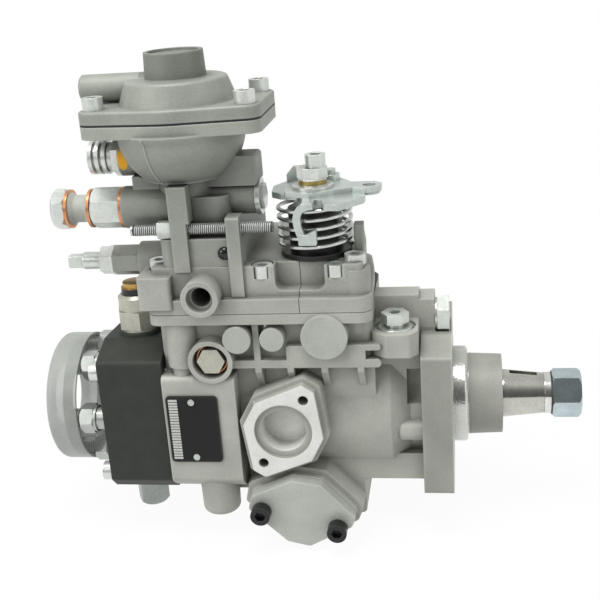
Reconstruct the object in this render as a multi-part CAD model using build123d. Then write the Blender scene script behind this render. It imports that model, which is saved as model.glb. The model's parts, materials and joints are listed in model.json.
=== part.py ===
from build123d import *
import math
import os

# Rotary distributor injection pump for a six-cylinder diesel engine.
# Millimetres. X runs along the drive shaft towards the nut, Z is up, -Y is the side with the window.
# The origin is the centre of the mounting pilot, in the flange's face.

# Fits and clearances
RUN_FIT = 0.03
SEAT_FIT = 0.05
MOVE_GAP = 0.3
SCREW_FIT = 0.25

# Flange, pilot and nose
PILOT_R = 25.0
PILOT_LENGTH = 7.5
PILOT_EDGE = 1.2
FLANGE_THICK = 15.0
FLANGE_HALF_WIDTH = 40.0
FLANGE_SIDE_LOW = 37.4
FLANGE_SIDE_HIGH = 36.0
FLANGE_BOTTOM = 47.0
FLANGE_TOP = 42.8
FLANGE_TIP_HALF = 12.0
FLANGE_TOP_HALF = 24.0
FLANGE_HOLE_R = 4.5
FLANGE_HOLE_PCD = 68.0
FLANGE_HOLES = 3
NUT_ROOM_R = 9.0
NUT_ROOM_DEPTH = 7.5
NOSE_R = 21.5
NOSE_TIP_R = 20.5
NOSE_END = 25.0

# Drive shaft, nut and washer
SHAFT_R = 12.5
TAPER_START = 26.0
TAPER_END = 46.5
TAPER_SMALL_R = 10.45
THREAD_R = 7.0
THREAD_END = 61.0
WASHER_THICK = 3.8
WASHER_R = 10.8
NUT_FLATS = 22.0
NUT_HEIGHT = 14.7
KEY_WIDTH = 4.0
KEY_LENGTH = 14.0
KEY_DEPTH = 2.5
BUSH_R = 17.5
BUSH_START = -25.0
BUSH_END = 6.0
SEAL_START = 12.0
SEAL_LENGTH = 7.0

# Housing
BODY_R = 38.0
BORE_R = 33.0
BORE_START = -27.0
NECK_R = 31.0
NECK_START = -21.0
NECK_CONE = 9.5
REAR_FACE = -144.0
TOP_FACE = 63.0
TOP_BAND = 5.5
SIDE_FRONT = -41.0
SIDE_BACK = 38.0
SIDE_LOW = 8.0
WALL_RECESS = 3.0
CHAMBER_FRONT = -43.0
CHAMBER_REAR = -128.0
CHAMBER_HALF = 28.0
GEAR_ROOM_HALF = 21.0
FOOT_HALF = 30.0
FOOT_BOTTOM = -34.5
RIB_FACE = SIDE_FRONT - 2.0
RIB_END = -33.5

# Block and lug beside the flange, with the regulating valve and the lock bolt
BLOCK_X0 = -38.0
BLOCK_X1 = -15.6
BESIDE_FRONT = -19.5
BESIDE_BACK = -6.5
BESIDE_TOP = 62.0
LUG_X1 = -8.0
LUG_TOP = 59.7
VALVE_LUG_TOP = 50.0
VALVE_LUG_THICK = 12.0
VALVE_X = -27.0
VALVE_Y = -29.5
LOCK_Y = -12.0
LOCK_Z = 49.2
LOCK_FLATS = 17.0
LOCK_HEAD = 7.0

# Feed pump
PUMP_LENGTH = 12.0
ROTOR_R = 22.0
LINER_R = 24.5
LINER_OFFSET = 2.0
PLATE_THICK = 3.0
VANE_THICK = 2.5
VANES = 4

# Gears
GEAR_MODULE = 1.75
DRIVE_TEETH = 32
GOVERNOR_TEETH = 20
GEAR_FRONT = -43.5
GEAR_WIDTH = 6.5
PRESSURE_ANGLE = 20.0
BACKLASH = 0.25
GOVERNOR_HEIGHT = GEAR_MODULE * (DRIVE_TEETH + GOVERNOR_TEETH) / 2

# Coupling, rollers and cam
HUB_R = 16.0
HUB_FRONT = -52.0
HUB_THICK = 4.0
DISC_THICK = 4.5
DOG_WIDTH = 8.0
DOG_INNER = 8.5
DOG_OUTER = 15.0
RING_FRONT = -66.0
RING_REAR = -84.0
RING_R = 32.0
RING_BORE = 18.0
ROLLERS = 3
ROLLER_R = 6.5
ROLLER_LENGTH = 9.0
ROLLER_TRACK_R = 25.0
ROLLER_STAND = 3.0
CAM_R = 30.0
CAM_THICK = 5.7
CAM_LOBES = 6
CAM_LIFT = 2.2
CAM_NOSE_R = 14.0
CAM_GAP = 0.1

# Plunger, control sleeve and springs
PLUNGER_R = 6.0
FOOT_R = 12.0
FOOT_THICK = 2.5
SLEEVE_R = 11.0
SLEEVE_LENGTH = 8.0
SLEEVE_CENTRE = -117.0
GROOVE_R = 8.5
GROOVE_WIDTH = 4.8
BRIDGE_THICK = 2.5
SPRING_SIDE = 19.5
PLUNGER_SPRING_R = 5.2
PLUNGER_WIRE = 1.0

# Distributor head
HEAD_REAR = -178.0
HEAD_HALF_WIDTH = 43.0
HEAD_TOP = 45.5
HEAD_ROOF = 43.5
HEAD_SHOULDER = 36.5
HEAD_TOP_HALF = 25.0
HEAD_BOTTOM = 36.6
HEAD_LOW_SIDE = 29.5
HEAD_LOW_HALF = 36.0
HEAD_SCREW_Y = 34.5
HEAD_SCREW_Z = 28.5
SPIGOT_LENGTH = 12.0
HEAD_SPIGOT = REAR_FACE + SPIGOT_LENGTH
BARREL_R = 13.0
BARREL_REAR = HEAD_REAR + 4.0
VALVES = 6
VALVE_CIRCLE_R = 28.0
VALVE_PHASE = 28.0
HOLDER_THREAD_R = 4.9
HOLDER_BODY_R = 6.0
HOLDER_COLLAR_R = 7.0
HOLDER_FLATS = 14.0
HOLDER_HEX_LENGTH = 7.0
HOLDER_BODY_LENGTH = 9.5
HOLDER_TIP_LENGTH = 8.5
HOLDER_DEPTH = 13.0
HOLDER_BORE_R = 2.4
CAP_R = 34.8
CAP_BORE_R = 19.0
CAP_FLOOR = 9.6
CAP_RIM = 7.5
HEAD_BOSS_R = 15.0
HEAD_BOSS_LENGTH = 4.0
HEAD_PLUG_R = 10.5

# Timing device
TIMING_X = -76.0
TIMING_Z = -42.0
PISTON_R = 9.0
PISTON_HALF = 26.0
PIN_R = 3.3
TIMING_FACE = -48.0
TIMING_COVER_THICK = 6.0
TIMING_STEP = 4.5
TIMING_TILT = -13.5
TIMING_SCREWS = 39.4
TIMING_BACK = 42.0
CASE_HALF = 30.0
CASE_BOTTOM = -54.8
CASE_RIGHT = -45.6

# Window flange
WINDOW_X = -83.2
WINDOW_Z = 1.9
WINDOW_FACE = -50.0
WINDOW_STEP = 4.5
WINDOW_TILT = 57.0
WINDOW_SCREWS = 40.8
WINDOW_RECESS_R = 14.5
WINDOW_BORE_R = 11.3
WINDOW_RECESS = 2.0
WINDOW_DEPTH = 10.0
M6_TAP_R = 2.5

# Ports and plugs on the window's side
PORT_FACE = -47.0
SIDE_PORT_X = -117.4
SIDE_PORT_Z = 38.2
SIDE_PORT_R = 11.3
SIDE_PORT_BORE_R = 8.9
SIDE_PLUG_R = 6.0
SIDE_PORT_DEPTH = 7.0
INLET_X = -117.7
INLET_Z = 73.5
INLET_FACE = -54.0
INLET_R = 9.2
INLET_SEAT_R = 6.5
INLET_BORE_R = 4.8
BIG_BOSS_X = -60.2
BIG_BOSS_Z = 50.7
BIG_BOSS_R = 11.4
LEFT_BOSS_X = -103.2
LEFT_BOSS_R = 7.0
MID_BOSS_X = -85.8
MID_BOSS_R = 6.0
SMALL_BOSS_Z = 49.8

# Pad and name plate
PAD_LEFT = -143.5
PAD_RIGHT = -106.5
PAD_LOW = -22.0
PAD_HIGH = 26.0
PAD_FACE = -46.0
PAD_STEP = 1.6
NAME_LEFT = -142.5
NAME_RIGHT = -116.0
NAME_LOW = -16.5
NAME_HIGH = 20.0
NAME_THICK = 1.0
RIVET_R = 1.7

# Governor cover
COVER_DECK = 86.0
COVER_SIDE = -46.0
COVER_BACK = 40.0
COVER_REAR = -147.0
COVER_END = -36.5
COVER_WALL = 5.0
COVER_BAND = 7.5
COVER_INSET = 3.5
LEFT_EAR_SEAT = 81.0
BLOCK_TOP = 100.0
BLOCK_FRONT = -42.0
BLOCK_LEFT = -138.0
BLOCK_RIGHT = -97.0
POST_BACK = -35.5
POST_FRONT = -44.0

# Control lever
LEVER_X = -64.5
LEVER_Y = -20.0
LEVER_SHAFT_R = 6.0
LEVER_PLATE_Z = COVER_DECK + 27.0
LEVER_PLATE_THICK = 3.0
LEVER_SPRING_R = 17.6
LEVER_SPRING_WIRE = 1.05
LEVER_SPRING_TURNS = 5
CUP_R = 15.0
CUP_LIP = 2.5
CUP_GAP = 4.0
UPPER_PLATE_THICK = 2.5
EYE_X = 27.0
EYE_Y = 0.8
EYE_R = 3.2

# Boost unit
BOOST_X = -126.5
BOOST_Y = -20.5
BOOST_SEAM = 156.0
BOOST_PLATE = 6.0
DIAPHRAGM_THICK = 1.0
BOOST_SCREW_X = 36.0
BOOST_SCREW_Y = 18.5
BOOST_EAR_R = 7.2
BOOST_RIM_R = 30.5
BOWL_R = 31.0
BOWL_LOW_R = 21.0
BOWL_LOW = 128.0
NECK_TOP = 126.5
DOME_R = 28.2
DOME_TOP_R = 24.3
DOME_TOP = BOOST_SEAM + 18.0
CAP_BOSS_R = 14.3
CAP_BOSS_TOP = DOME_TOP + 12.4
BOOST_PIN_R = 4.0
PIPE_R = 6.7
PIPE_Y = -16.0
PIPE_Z = BOOST_SEAM + 14.0
PIPE_END = -175.0
UNION_Y = -20.0
UNION_Z = 137.0
UNION_SEAT = -157.5
UNION_R = 8.3

# Fittings on the pump's rear end
OVERFLOW_Y = -25.0
OVERFLOW_Z = 112.7
OVERFLOW_SEAT = -157.0
OVERFLOW_BOSS_R = 10.4
OVERFLOW_FLATS = 18.0
OVERFLOW_END = -173.5
FULL_LOAD_Y = -10.0
FULL_LOAD_Z = 81.0
FULL_LOAD_SEAT = -157.0
FULL_LOAD_FLATS = 14.0
FULL_LOAD_HEX_END = -173.2
SOLENOID_X = -161.5
SOLENOID_Y = -15.0
SOLENOID_FLATS = 19.5
SOLENOID_HEX = 11.0
SOLENOID_NECK = 8.5
SOLENOID_TURN = -11.0
BLEED_X = -165.5
BLEED_FLATS = 15.0
BLEED_LENGTH = 20.0
BLEED_DEPTH = 6.0
STOP_SCREW_Y = -39.0
STOP_SCREW_Z = 104.4
STOP_SCREW_END = -82.0
STOP_NUT_FLATS = 8.0
STOP_SCREW_R = 2.5

# Socket-head screws
SCREW_R = 3.0
SCREW_HEAD_R = 5.0
SCREW_HEAD_HEIGHT = 6.0
SOCKET_FLATS = 5.0
SOCKET_DEPTH = 3.0

# Copper washers
COPPER_THICK = 1.5


def rod_x(x0, x1, radius, y=0.0, z=0.0):
    base = Cylinder(radius, abs(x1 - x0), align=(Align.CENTER, Align.CENTER, Align.MIN))
    return Pos(min(x0, x1), y, z) * Rot(0, 90, 0) * base


def rod_y(y0, y1, radius, x, z):
    base = Cylinder(radius, abs(y1 - y0), align=(Align.CENTER, Align.CENTER, Align.MIN))
    return Pos(x, min(y0, y1), z) * Rot(-90, 0, 0) * base


def rod_z(z0, z1, radius, x, y):
    base = Cylinder(radius, abs(z1 - z0), align=(Align.CENTER, Align.CENTER, Align.MIN))
    return Pos(x, y, min(z0, z1)) * base


def cone_x(x0, x1, r0, r1, y=0.0, z=0.0):
    base = Cone(r0, r1, x1 - x0, align=(Align.CENTER, Align.CENTER, Align.MIN))
    return Pos(x0, y, z) * Rot(0, 90, 0) * base


def cone_z(z0, z1, r0, r1, x, y):
    base = Cone(r0, r1, z1 - z0, align=(Align.CENTER, Align.CENTER, Align.MIN))
    return Pos(x, y, z0) * base


def block(x0, x1, y0, y1, z0, z1):
    return Pos((x0 + x1) / 2, (y0 + y1) / 2, (z0 + z1) / 2) * Box(x1 - x0, y1 - y0, z1 - z0)


def rounded(points, radius):
    shape = Polygon(*points, align=None)
    return fillet(shape.vertices(), radius)


def plate_x(sketch, x0, x1):
    return extrude(Plane.YZ.offset(x0) * sketch, x1 - x0, dir=(1, 0, 0))


def plate_y(sketch, y0, y1):
    return extrude(Plane.XZ.offset(-y0) * sketch, y1 - y0, dir=(0, 1, 0))


def plate_z(sketch, z0, z1):
    return extrude(Plane.XY.offset(z0) * sketch, z1 - z0, dir=(0, 0, 1))


def hex_x(x0, x1, flats, y=0.0, z=0.0, turn=0.0):
    return plate_x(Pos(y, z) * RegularPolygon(flats / 2, 6, major_radius=False, rotation=turn), x0, x1)


def hex_z(z0, z1, flats, x, y):
    return plate_z(Pos(x, y) * RegularPolygon(flats / 2, 6, major_radius=False), z0, z1)


def socket_screw(length, head=SCREW_HEAD_HEIGHT):
    # The head sits on Z = 0 and the shank runs down.
    body = Cylinder(SCREW_HEAD_R, head, align=(Align.CENTER, Align.CENTER, Align.MIN))
    body -= hex_z(head - SOCKET_DEPTH, head + 1, SOCKET_FLATS, 0, 0)
    shank = Cylinder(SCREW_R, length, align=(Align.CENTER, Align.CENTER, Align.MAX))
    return body + shank


def coil(radius, wire, length, turns):
    # A coil along Z from 0 to length, measured over the wire.
    path = Helix(pitch=(length - 2 * wire) / turns, height=length - 2 * wire, radius=radius)
    section = Plane(origin=path @ 0, z_dir=path % 0) * RegularPolygon(wire, 6)
    return Pos(0, 0, wire) * sweep(section, path=path, is_frenet=True)


def involute_point(base_r, angle):
    x = base_r * (math.cos(angle) + angle * math.sin(angle))
    y = base_r * (math.sin(angle) - angle * math.cos(angle))
    return x, y


def gear_sketch(teeth, module):
    # Involute flanks, with a straight root, thinned by half the backlash on each flank.
    pitch_r = module * teeth / 2
    base_r = pitch_r * math.cos(math.radians(PRESSURE_ANGLE))
    tip_r = pitch_r + 0.9 * module
    root_r = pitch_r - 1.2 * module
    steps = 4
    pitch_roll = math.sqrt((pitch_r / base_r) ** 2 - 1)
    tip_roll = math.sqrt((tip_r / base_r) ** 2 - 1)
    px, py = involute_point(base_r, pitch_roll)
    half = math.pi / (2 * teeth) - BACKLASH / (2 * pitch_r) + math.atan2(py, px)
    flank = []
    for step in range(steps + 1):
        fx, fy = involute_point(base_r, tip_roll * step / steps)
        flank.append((math.hypot(fx, fy), math.atan2(fy, fx) - half))
    profile = [(root_r, -half)] + flank
    tooth = profile + [(r, -a) for r, a in reversed(profile)]
    points = []
    for index in range(teeth):
        turn = 2 * math.pi * index / teeth
        points += [(r * math.cos(a + turn), r * math.sin(a + turn)) for r, a in tooth]
    return make_face(Polyline(*points, close=True))


def flange_hole_places():
    places = []
    for index in range(FLANGE_HOLES):
        angle = math.radians(270 + 360 / FLANGE_HOLES * index)
        radius = FLANGE_HOLE_PCD / 2
        places.append((radius * math.cos(angle), radius * math.sin(angle)))
    return places


def valve_places():
    places = []
    for index in range(VALVES):
        angle = math.radians(360 / VALVES * index - VALVE_PHASE)
        places.append((-VALVE_CIRCLE_R * math.sin(angle), VALVE_CIRCLE_R * math.cos(angle)))
    return places


def tilted_pair(x, z, spacing, tilt):
    dx = spacing / 2 * math.cos(math.radians(tilt))
    dz = spacing / 2 * math.sin(math.radians(tilt))
    return [(x - dx, z - dz), (x + dx, z + dz)]


def timing_screw_places():
    return tilted_pair(TIMING_X - 1.5, TIMING_Z - 3.0, TIMING_SCREWS, TIMING_TILT)


def window_screw_places():
    return tilted_pair(WINDOW_X, WINDOW_Z, WINDOW_SCREWS, WINDOW_TILT)


def cover_screw_places():
    # Place and seat height. The two in front are sunk in their bosses.
    sunk = COVER_DECK - SCREW_HEAD_HEIGHT - 0.5
    return [
        (-89.0, -38.0, sunk),
        (-53.5, -38.0, sunk),
        (-44.5, -34.5, COVER_DECK - 3.0),
        (-142.0, -30.0, LEFT_EAR_SEAT),
        (-140.5, 31.0, LEFT_EAR_SEAT),
        (-62.0, 32.0, COVER_DECK),
    ]


def boost_screw_places():
    places = []
    for side_x in (-1, 1):
        for side_y in (-1, 1):
            places.append((BOOST_X + side_x * BOOST_SCREW_X, BOOST_Y + side_y * BOOST_SCREW_Y))
    return places


def head_screw_places():
    places = []
    for side_y in (-1, 1):
        for side_z in (-1, 1):
            places.append((side_y * HEAD_SCREW_Y, side_z * HEAD_SCREW_Z))
    return places


def flange_outline():
    half = FLANGE_HALF_WIDTH
    points = [
        (-half, -FLANGE_SIDE_LOW),
        (-FLANGE_TIP_HALF, -FLANGE_BOTTOM),
        (FLANGE_TIP_HALF, -FLANGE_BOTTOM),
        (half, -FLANGE_SIDE_LOW),
        (half, FLANGE_SIDE_HIGH),
        (FLANGE_TOP_HALF, FLANGE_TOP),
        (-FLANGE_TOP_HALF, FLANGE_TOP),
        (-half, FLANGE_SIDE_HIGH),
    ]
    return rounded(points, 2)


def grown(sketch, amount):
    return offset(sketch, amount=amount, kind=Kind.INTERSECTION)


def window_outline(grow=0.0):
    points = [(-27, 2.4), (-27, -4.7), (-6, -20), (7.8, -18.7), (27, -2.4), (27, 4.7), (6, 19.5), (-7.8, 18.7)]
    shape = grown(Polygon(*points, align=None), grow) if grow else Polygon(*points, align=None)
    return Pos(WINDOW_X, WINDOW_Z) * Rot(0, 0, WINDOW_TILT) * fillet(shape.vertices(), 2)


def timing_outline(grow=0.0):
    points = [(-27, 7), (-8, 21), (7.5, 22), (28, 8), (27, 2), (8, -14.5), (-4, -14.5), (-27, -1)]
    shape = grown(Polygon(*points, align=None), grow) if grow else Polygon(*points, align=None)
    return Pos(TIMING_X - 1.5, TIMING_Z - 3.0) * Rot(0, 0, TIMING_TILT) * fillet(shape.vertices(), 2.5)


def top_outline():
    # Seen from above, the end towards the flange slopes back, and its rear corner is cut off.
    points = [
        (COVER_REAR, COVER_SIDE),
        (COVER_END, COVER_SIDE),
        (COVER_END - 2.0, 0),
        (COVER_END - 5.0, 22),
        (COVER_END - 22.0, COVER_BACK),
        (COVER_REAR, COVER_BACK),
    ]
    return rounded(points, 6)


def chamber_outline():
    # The governor's room, narrower beside the gears.
    points = [
        (CHAMBER_REAR, -CHAMBER_HALF),
        (RING_FRONT, -CHAMBER_HALF),
        (RING_FRONT + 8, -GEAR_ROOM_HALF),
        (CHAMBER_FRONT, -GEAR_ROOM_HALF),
        (CHAMBER_FRONT, GEAR_ROOM_HALF),
        (RING_FRONT + 8, GEAR_ROOM_HALF),
        (RING_FRONT, CHAMBER_HALF),
        (CHAMBER_REAR, CHAMBER_HALF),
    ]
    return Polygon(*points, align=None)


def housing_castings():
    # The cylinder with its cone towards the flange.
    cone = NECK_START - NECK_CONE
    body = rod_x(REAR_FACE, cone, BODY_R) + cone_x(cone, NECK_START, BODY_R, NECK_R)
    body += rod_x(NECK_START, -FLANGE_THICK, NECK_R)
    body += plate_x(flange_outline(), -FLANGE_THICK, 0)
    # Upper body, and the band under the governor cover.
    wall = [
        (REAR_FACE, SIDE_FRONT + WALL_RECESS),
        (COVER_END - 1, SIDE_FRONT + WALL_RECESS),
        (COVER_END - 1, 12),
        (COVER_END - 15, SIDE_BACK),
        (REAR_FACE, SIDE_BACK),
    ]
    upper = plate_z(rounded(wall, 4), SIDE_LOW, TOP_FACE)
    upper -= block(-116, -22, SIDE_FRONT - 1, SIDE_FRONT + 6, 0, 33)
    body += upper
    body += plate_z(top_outline(), TOP_FACE - TOP_BAND, TOP_FACE)
    # Rear body behind the head.
    rear = rounded([(-46, -28), (-38, -34.5), (36, -38), (SIDE_BACK, -34), (SIDE_BACK, 30), (-46, 30)], 3)
    body += plate_x(rear, REAR_FACE, PAD_RIGHT)
    # Foot below the cylinder, from the timing case to the flange.
    foot = plate_z(rounded([(-110, -FOOT_HALF), (-8, -FOOT_HALF), (-8, FOOT_HALF), (-110, FOOT_HALF)], 3),
                   FOOT_BOTTOM, -20)
    body += foot & block(-111, -FLANGE_THICK, -FOOT_HALF - 1, FOOT_HALF + 1, FOOT_BOTTOM, -20)
    # Nose and pilot.
    body += cone_x(0, NOSE_END, NOSE_R, NOSE_TIP_R)
    pilot = rod_x(0, PILOT_LENGTH, PILOT_R)
    return body + chamfer(pilot.edges().sort_by(Axis.X)[-1:], PILOT_EDGE)


def housing_flanges():
    # Timing case across the body, with stepped flanges, and the stepped window flange.
    case = plate_y(timing_outline(), TIMING_FACE, TIMING_BACK)
    case += plate_y(timing_outline(2.5), TIMING_FACE + TIMING_STEP, TIMING_BACK - TIMING_STEP)
    bottom = rounded([(TIMING_X - 28, CASE_BOTTOM), (CASE_RIGHT, CASE_BOTTOM), (CASE_RIGHT, -20),
                      (TIMING_X - 28, -20)], 2.5)
    case += plate_y(bottom, -CASE_HALF, CASE_HALF)
    case += block(-116, TIMING_X - 20, -28, 0, -42, -36)
    window = plate_y(window_outline(), WINDOW_FACE, -20)
    window += plate_y(window_outline(2.5), WINDOW_FACE + WINDOW_STEP, -20)
    return case + window


def housing_bosses():
    # Bosses and ports on the window's side.
    bosses = rod_y(PORT_FACE, SIDE_FRONT + 10, BIG_BOSS_R, BIG_BOSS_X, BIG_BOSS_Z)
    bosses += rod_y(PORT_FACE, SIDE_FRONT + 10, LEFT_BOSS_R, LEFT_BOSS_X, SMALL_BOSS_Z)
    bosses += rod_y(PORT_FACE, SIDE_FRONT + 10, MID_BOSS_R, MID_BOSS_X, SMALL_BOSS_Z)
    bosses += rod_y(PORT_FACE, -20, SIDE_PORT_R, SIDE_PORT_X, SIDE_PORT_Z)
    # Two long ribs with round ends, and the solid stretch between them.
    for low, high, start in ((42.3, 45.3, BIG_BOSS_X), (33.4, 37.6, -110.0)):
        half = (high - low) / 2
        rib = block(start, RIB_END - half, RIB_FACE, SIDE_FRONT + 10, low, high)
        rib += rod_y(RIB_FACE, SIDE_FRONT + 10, half, RIB_END - half, low + half)
        bosses += rib
    bosses += block(-78.5, -41, RIB_FACE, SIDE_FRONT + 10, 35, 45)
    # Short upright ribs, which run out on the cylinder.
    for rib_x, high in ((-94.3, 58), (-78.2, 45), (-61.4, 34), (-43.6, 34)):
        rib = rounded([(RIB_FACE, high), (RIB_FACE, 31), (-34, 19), (-30, 19), (-30, high)], 1)
        bosses += plate_x(rib, rib_x - 1.6, rib_x + 1.6)
    # Screw column under the cover's left ear, and the thinner one below it.
    bosses += rod_z(34, TOP_FACE - 1, 8.2, -133, SIDE_FRONT + 4)
    bosses += rod_z(20, 36, 5.2, -133.5, SIDE_FRONT + 2)
    bosses += block(-143.5, -126, SIDE_FRONT - 1, SIDE_FRONT + 8, 27.5, 29.5)
    # Raised pad of the name plate, in two steps.
    for inset, face in ((0, PAD_FACE + PAD_STEP), (2.2, PAD_FACE)):
        pad = rounded([(PAD_LEFT, PAD_LOW + inset), (PAD_RIGHT - inset, PAD_LOW + inset),
                       (PAD_RIGHT - inset, PAD_HIGH - inset), (PAD_LEFT, PAD_HIGH - inset)], 2)
        bosses += plate_y(pad, face, -38)
    # Drain boss under the pad, and the small boss behind the flange.
    drain = cone_z(-51, -20, 9.8, 10.6, -122.3, -33)
    bosses += fillet(drain.edges().sort_by(Axis.Z)[:1], 3)
    small = rod_x(-27, -FLANGE_THICK, 5.5, -31, -5.7)
    return bosses + fillet(small.edges().sort_by(Axis.X)[:1], 2)


def housing_lugs():
    # Lug of the regulating valve, the block behind it and the lug of the lock bolt.
    lugs = block(BLOCK_X0, BLOCK_X1, BESIDE_FRONT, BESIDE_BACK, 20, BESIDE_TOP)
    corner = BLOCK_X1 - 0.1
    valve = [(BLOCK_X0, -15), (corner, -15), (corner, -38), (corner - 4, -43), (-31, -43), (BLOCK_X0, -38)]
    lugs += plate_z(rounded(valve, 2.5), VALVE_LUG_TOP - VALVE_LUG_THICK, VALVE_LUG_TOP)
    lugs += block(BLOCK_X1 - 1, LUG_X1, BESIDE_FRONT, BESIDE_BACK + 3, 36, LUG_TOP)
    web = [(-40, 19), (BLOCK_X1, 19), (BLOCK_X1, VALVE_LUG_TOP), (-40, VALVE_LUG_TOP)]
    return lugs + plate_y(rounded(web, 1), -26, 14)


def nut_room(y, z):
    # Room for a nut on the flange's rear side, open outwards.
    room = rod_x(-FLANGE_THICK - NUT_ROOM_DEPTH, -FLANGE_THICK, NUT_ROOM_R, y, z)
    side = 0 if abs(y) < 1 else math.copysign(20, y)
    drop = 20 if side == 0 else 0
    low_y, high_y = sorted((y, y + side))
    if side == 0:
        low_y, high_y = -NUT_ROOM_R, NUT_ROOM_R
    low_z = z - drop if drop else z - NUT_ROOM_R
    high_z = z if drop else z + NUT_ROOM_R
    return room + block(-FLANGE_THICK - NUT_ROOM_DEPTH, -FLANGE_THICK, low_y, high_y, low_z, high_z)


def pump_housing():
    body = housing_castings() + housing_flanges() + housing_bosses() + housing_lugs()
    # Shaft bearing, seal, feed pump and main bore.
    body -= rod_x(BORE_START - 1, SEAL_START + SEAL_LENGTH, BUSH_R)
    body -= rod_x(0, NOSE_END + 1, SHAFT_R + 1.0)
    body -= rod_x(REAR_FACE - 1, BORE_START, BORE_R)
    body -= plate_z(chamber_outline(), 5, TOP_FACE + 1)
    # Governor shaft seat.
    body -= rod_x(CHAMBER_FRONT - 1, BORE_START + 3, 4 + SEAT_FIT, 0, GOVERNOR_HEIGHT)
    # Timing piston bore, and the slot for the roller ring's pin.
    body -= rod_y(TIMING_FACE - 1, TIMING_BACK + 1, PISTON_R + RUN_FIT, TIMING_X, TIMING_Z)
    body -= block(TIMING_X - 5, TIMING_X + 5, -9, 9, TIMING_Z + 4, -28)
    # Flange holes and the room for their nuts.
    for y, z in flange_hole_places():
        body -= rod_x(-FLANGE_THICK - 1, 1, FLANGE_HOLE_R, y, z)
        body -= nut_room(y, z)
    # Blind window with its recess and two tapped holes.
    floor = WINDOW_FACE + WINDOW_RECESS
    body -= rod_y(WINDOW_FACE - 1, floor, WINDOW_RECESS_R, WINDOW_X, WINDOW_Z)
    body -= rod_y(WINDOW_FACE, floor + WINDOW_DEPTH, WINDOW_BORE_R, WINDOW_X, WINDOW_Z)
    for x, z in window_screw_places():
        body -= rod_y(WINDOW_FACE - 1, WINDOW_FACE + 12, M6_TAP_R, x, z)
    # Plugged side port.
    body -= rod_y(PORT_FACE - 1, PORT_FACE + SIDE_PORT_DEPTH, SIDE_PORT_BORE_R, SIDE_PORT_X, SIDE_PORT_Z)
    body -= rod_y(PORT_FACE, -25, SIDE_PLUG_R + SEAT_FIT, SIDE_PORT_X, SIDE_PORT_Z)
    # Regulating valve in its counterbore, and the lock bolt beside the flange.
    body -= rod_z(VALVE_LUG_TOP - 1.5, VALVE_LUG_TOP + 5, 10, VALVE_X, VALVE_Y)
    body -= rod_z(39, VALVE_LUG_TOP + 1, 6 + SEAT_FIT, VALVE_X, VALVE_Y)
    body -= rod_x(-24, LUG_X1 + 1, 4 + SEAT_FIT, LOCK_Y, LOCK_Z)
    body -= rod_x(LUG_X1, 1, LOCK_FLATS / math.sqrt(3) + 0.6, LOCK_Y, LOCK_Z)
    for x, z in timing_screw_places():
        body -= rod_y(TIMING_FACE - 1, TIMING_FACE + 14, SCREW_R + SEAT_FIT, x, z)
        body -= rod_y(TIMING_BACK - 14, TIMING_BACK + 1, SCREW_R + SEAT_FIT, x, z)
    for x, y, seat in cover_screw_places():
        body -= rod_z(TOP_FACE - 14, TOP_FACE + 1, SCREW_R + SEAT_FIT, x, y)
    for y, z in head_screw_places():
        body -= rod_x(REAR_FACE - 1, REAR_FACE + 15, SCREW_R + SEAT_FIT, y, z)
    return body


def front_bearing_bush():
    return rod_x(BUSH_START, BUSH_END, BUSH_R - SEAT_FIT) - rod_x(BUSH_START - 1, BUSH_END + 1, SHAFT_R + RUN_FIT)


def shaft_seal():
    end = SEAL_START + SEAL_LENGTH
    seal = rod_x(SEAL_START, end, BUSH_R - SEAT_FIT)
    seal -= rod_x(SEAL_START - 1, SEAL_START + 2, 15.5)
    return seal - rod_x(SEAL_START, end + 1, SHAFT_R + RUN_FIT)


def feed_pump_ring():
    ring = rod_x(BORE_START - PUMP_LENGTH, BORE_START, BORE_R - SEAT_FIT)
    return ring - rod_x(BORE_START - PUMP_LENGTH - 1, BORE_START + 1, LINER_R, 0, LINER_OFFSET)


def feed_pump_plate():
    rear = BORE_START - PUMP_LENGTH - PLATE_THICK
    plate = rod_x(rear, BORE_START - PUMP_LENGTH, BORE_R - SEAT_FIT)
    return plate - rod_x(rear - 1, BORE_START, SHAFT_R + MOVE_GAP)


def vane(gap):
    start = BORE_START - PUMP_LENGTH + MOVE_GAP
    return block(start, BORE_START - MOVE_GAP, ROTOR_R - 7 - gap, ROTOR_R + MOVE_GAP, -VANE_THICK / 2 - gap,
                 VANE_THICK / 2 + gap)


def feed_pump_rotor():
    rotor = rod_x(BORE_START - PUMP_LENGTH + MOVE_GAP, BORE_START - MOVE_GAP, ROTOR_R)
    rotor -= rod_x(BORE_START - PUMP_LENGTH, BORE_START, SHAFT_R + RUN_FIT)
    for index in range(VANES):
        rotor -= Rot(360 / VANES * index, 0, 0) * vane(SEAT_FIT)
    return rotor


def feed_pump_vanes():
    return Compound(children=[Rot(360 / VANES * index, 0, 0) * vane(0) for index in range(VANES)])


def key_cutter(gap):
    start = TAPER_START + 3
    return block(start - gap, start + KEY_LENGTH + gap, -KEY_WIDTH / 2 - gap, KEY_WIDTH / 2 + gap,
                 SHAFT_R - KEY_DEPTH - 1 - gap, SHAFT_R + 1.2)


def drive_shaft():
    shaft = rod_x(HUB_FRONT, TAPER_START, SHAFT_R)
    shaft += cone_x(TAPER_START, TAPER_END, SHAFT_R, TAPER_SMALL_R)
    shaft += rod_x(TAPER_END, THREAD_END, THREAD_R)
    shaft += rod_x(HUB_FRONT - HUB_THICK, HUB_FRONT, HUB_R)
    for side in (-1, 1):
        low, high = sorted((side * DOG_INNER, side * DOG_OUTER))
        shaft += block(HUB_FRONT - HUB_THICK - DISC_THICK, HUB_FRONT - HUB_THICK, -DOG_WIDTH / 2, DOG_WIDTH / 2,
                       low, high)
    return shaft - key_cutter(0)


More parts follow.
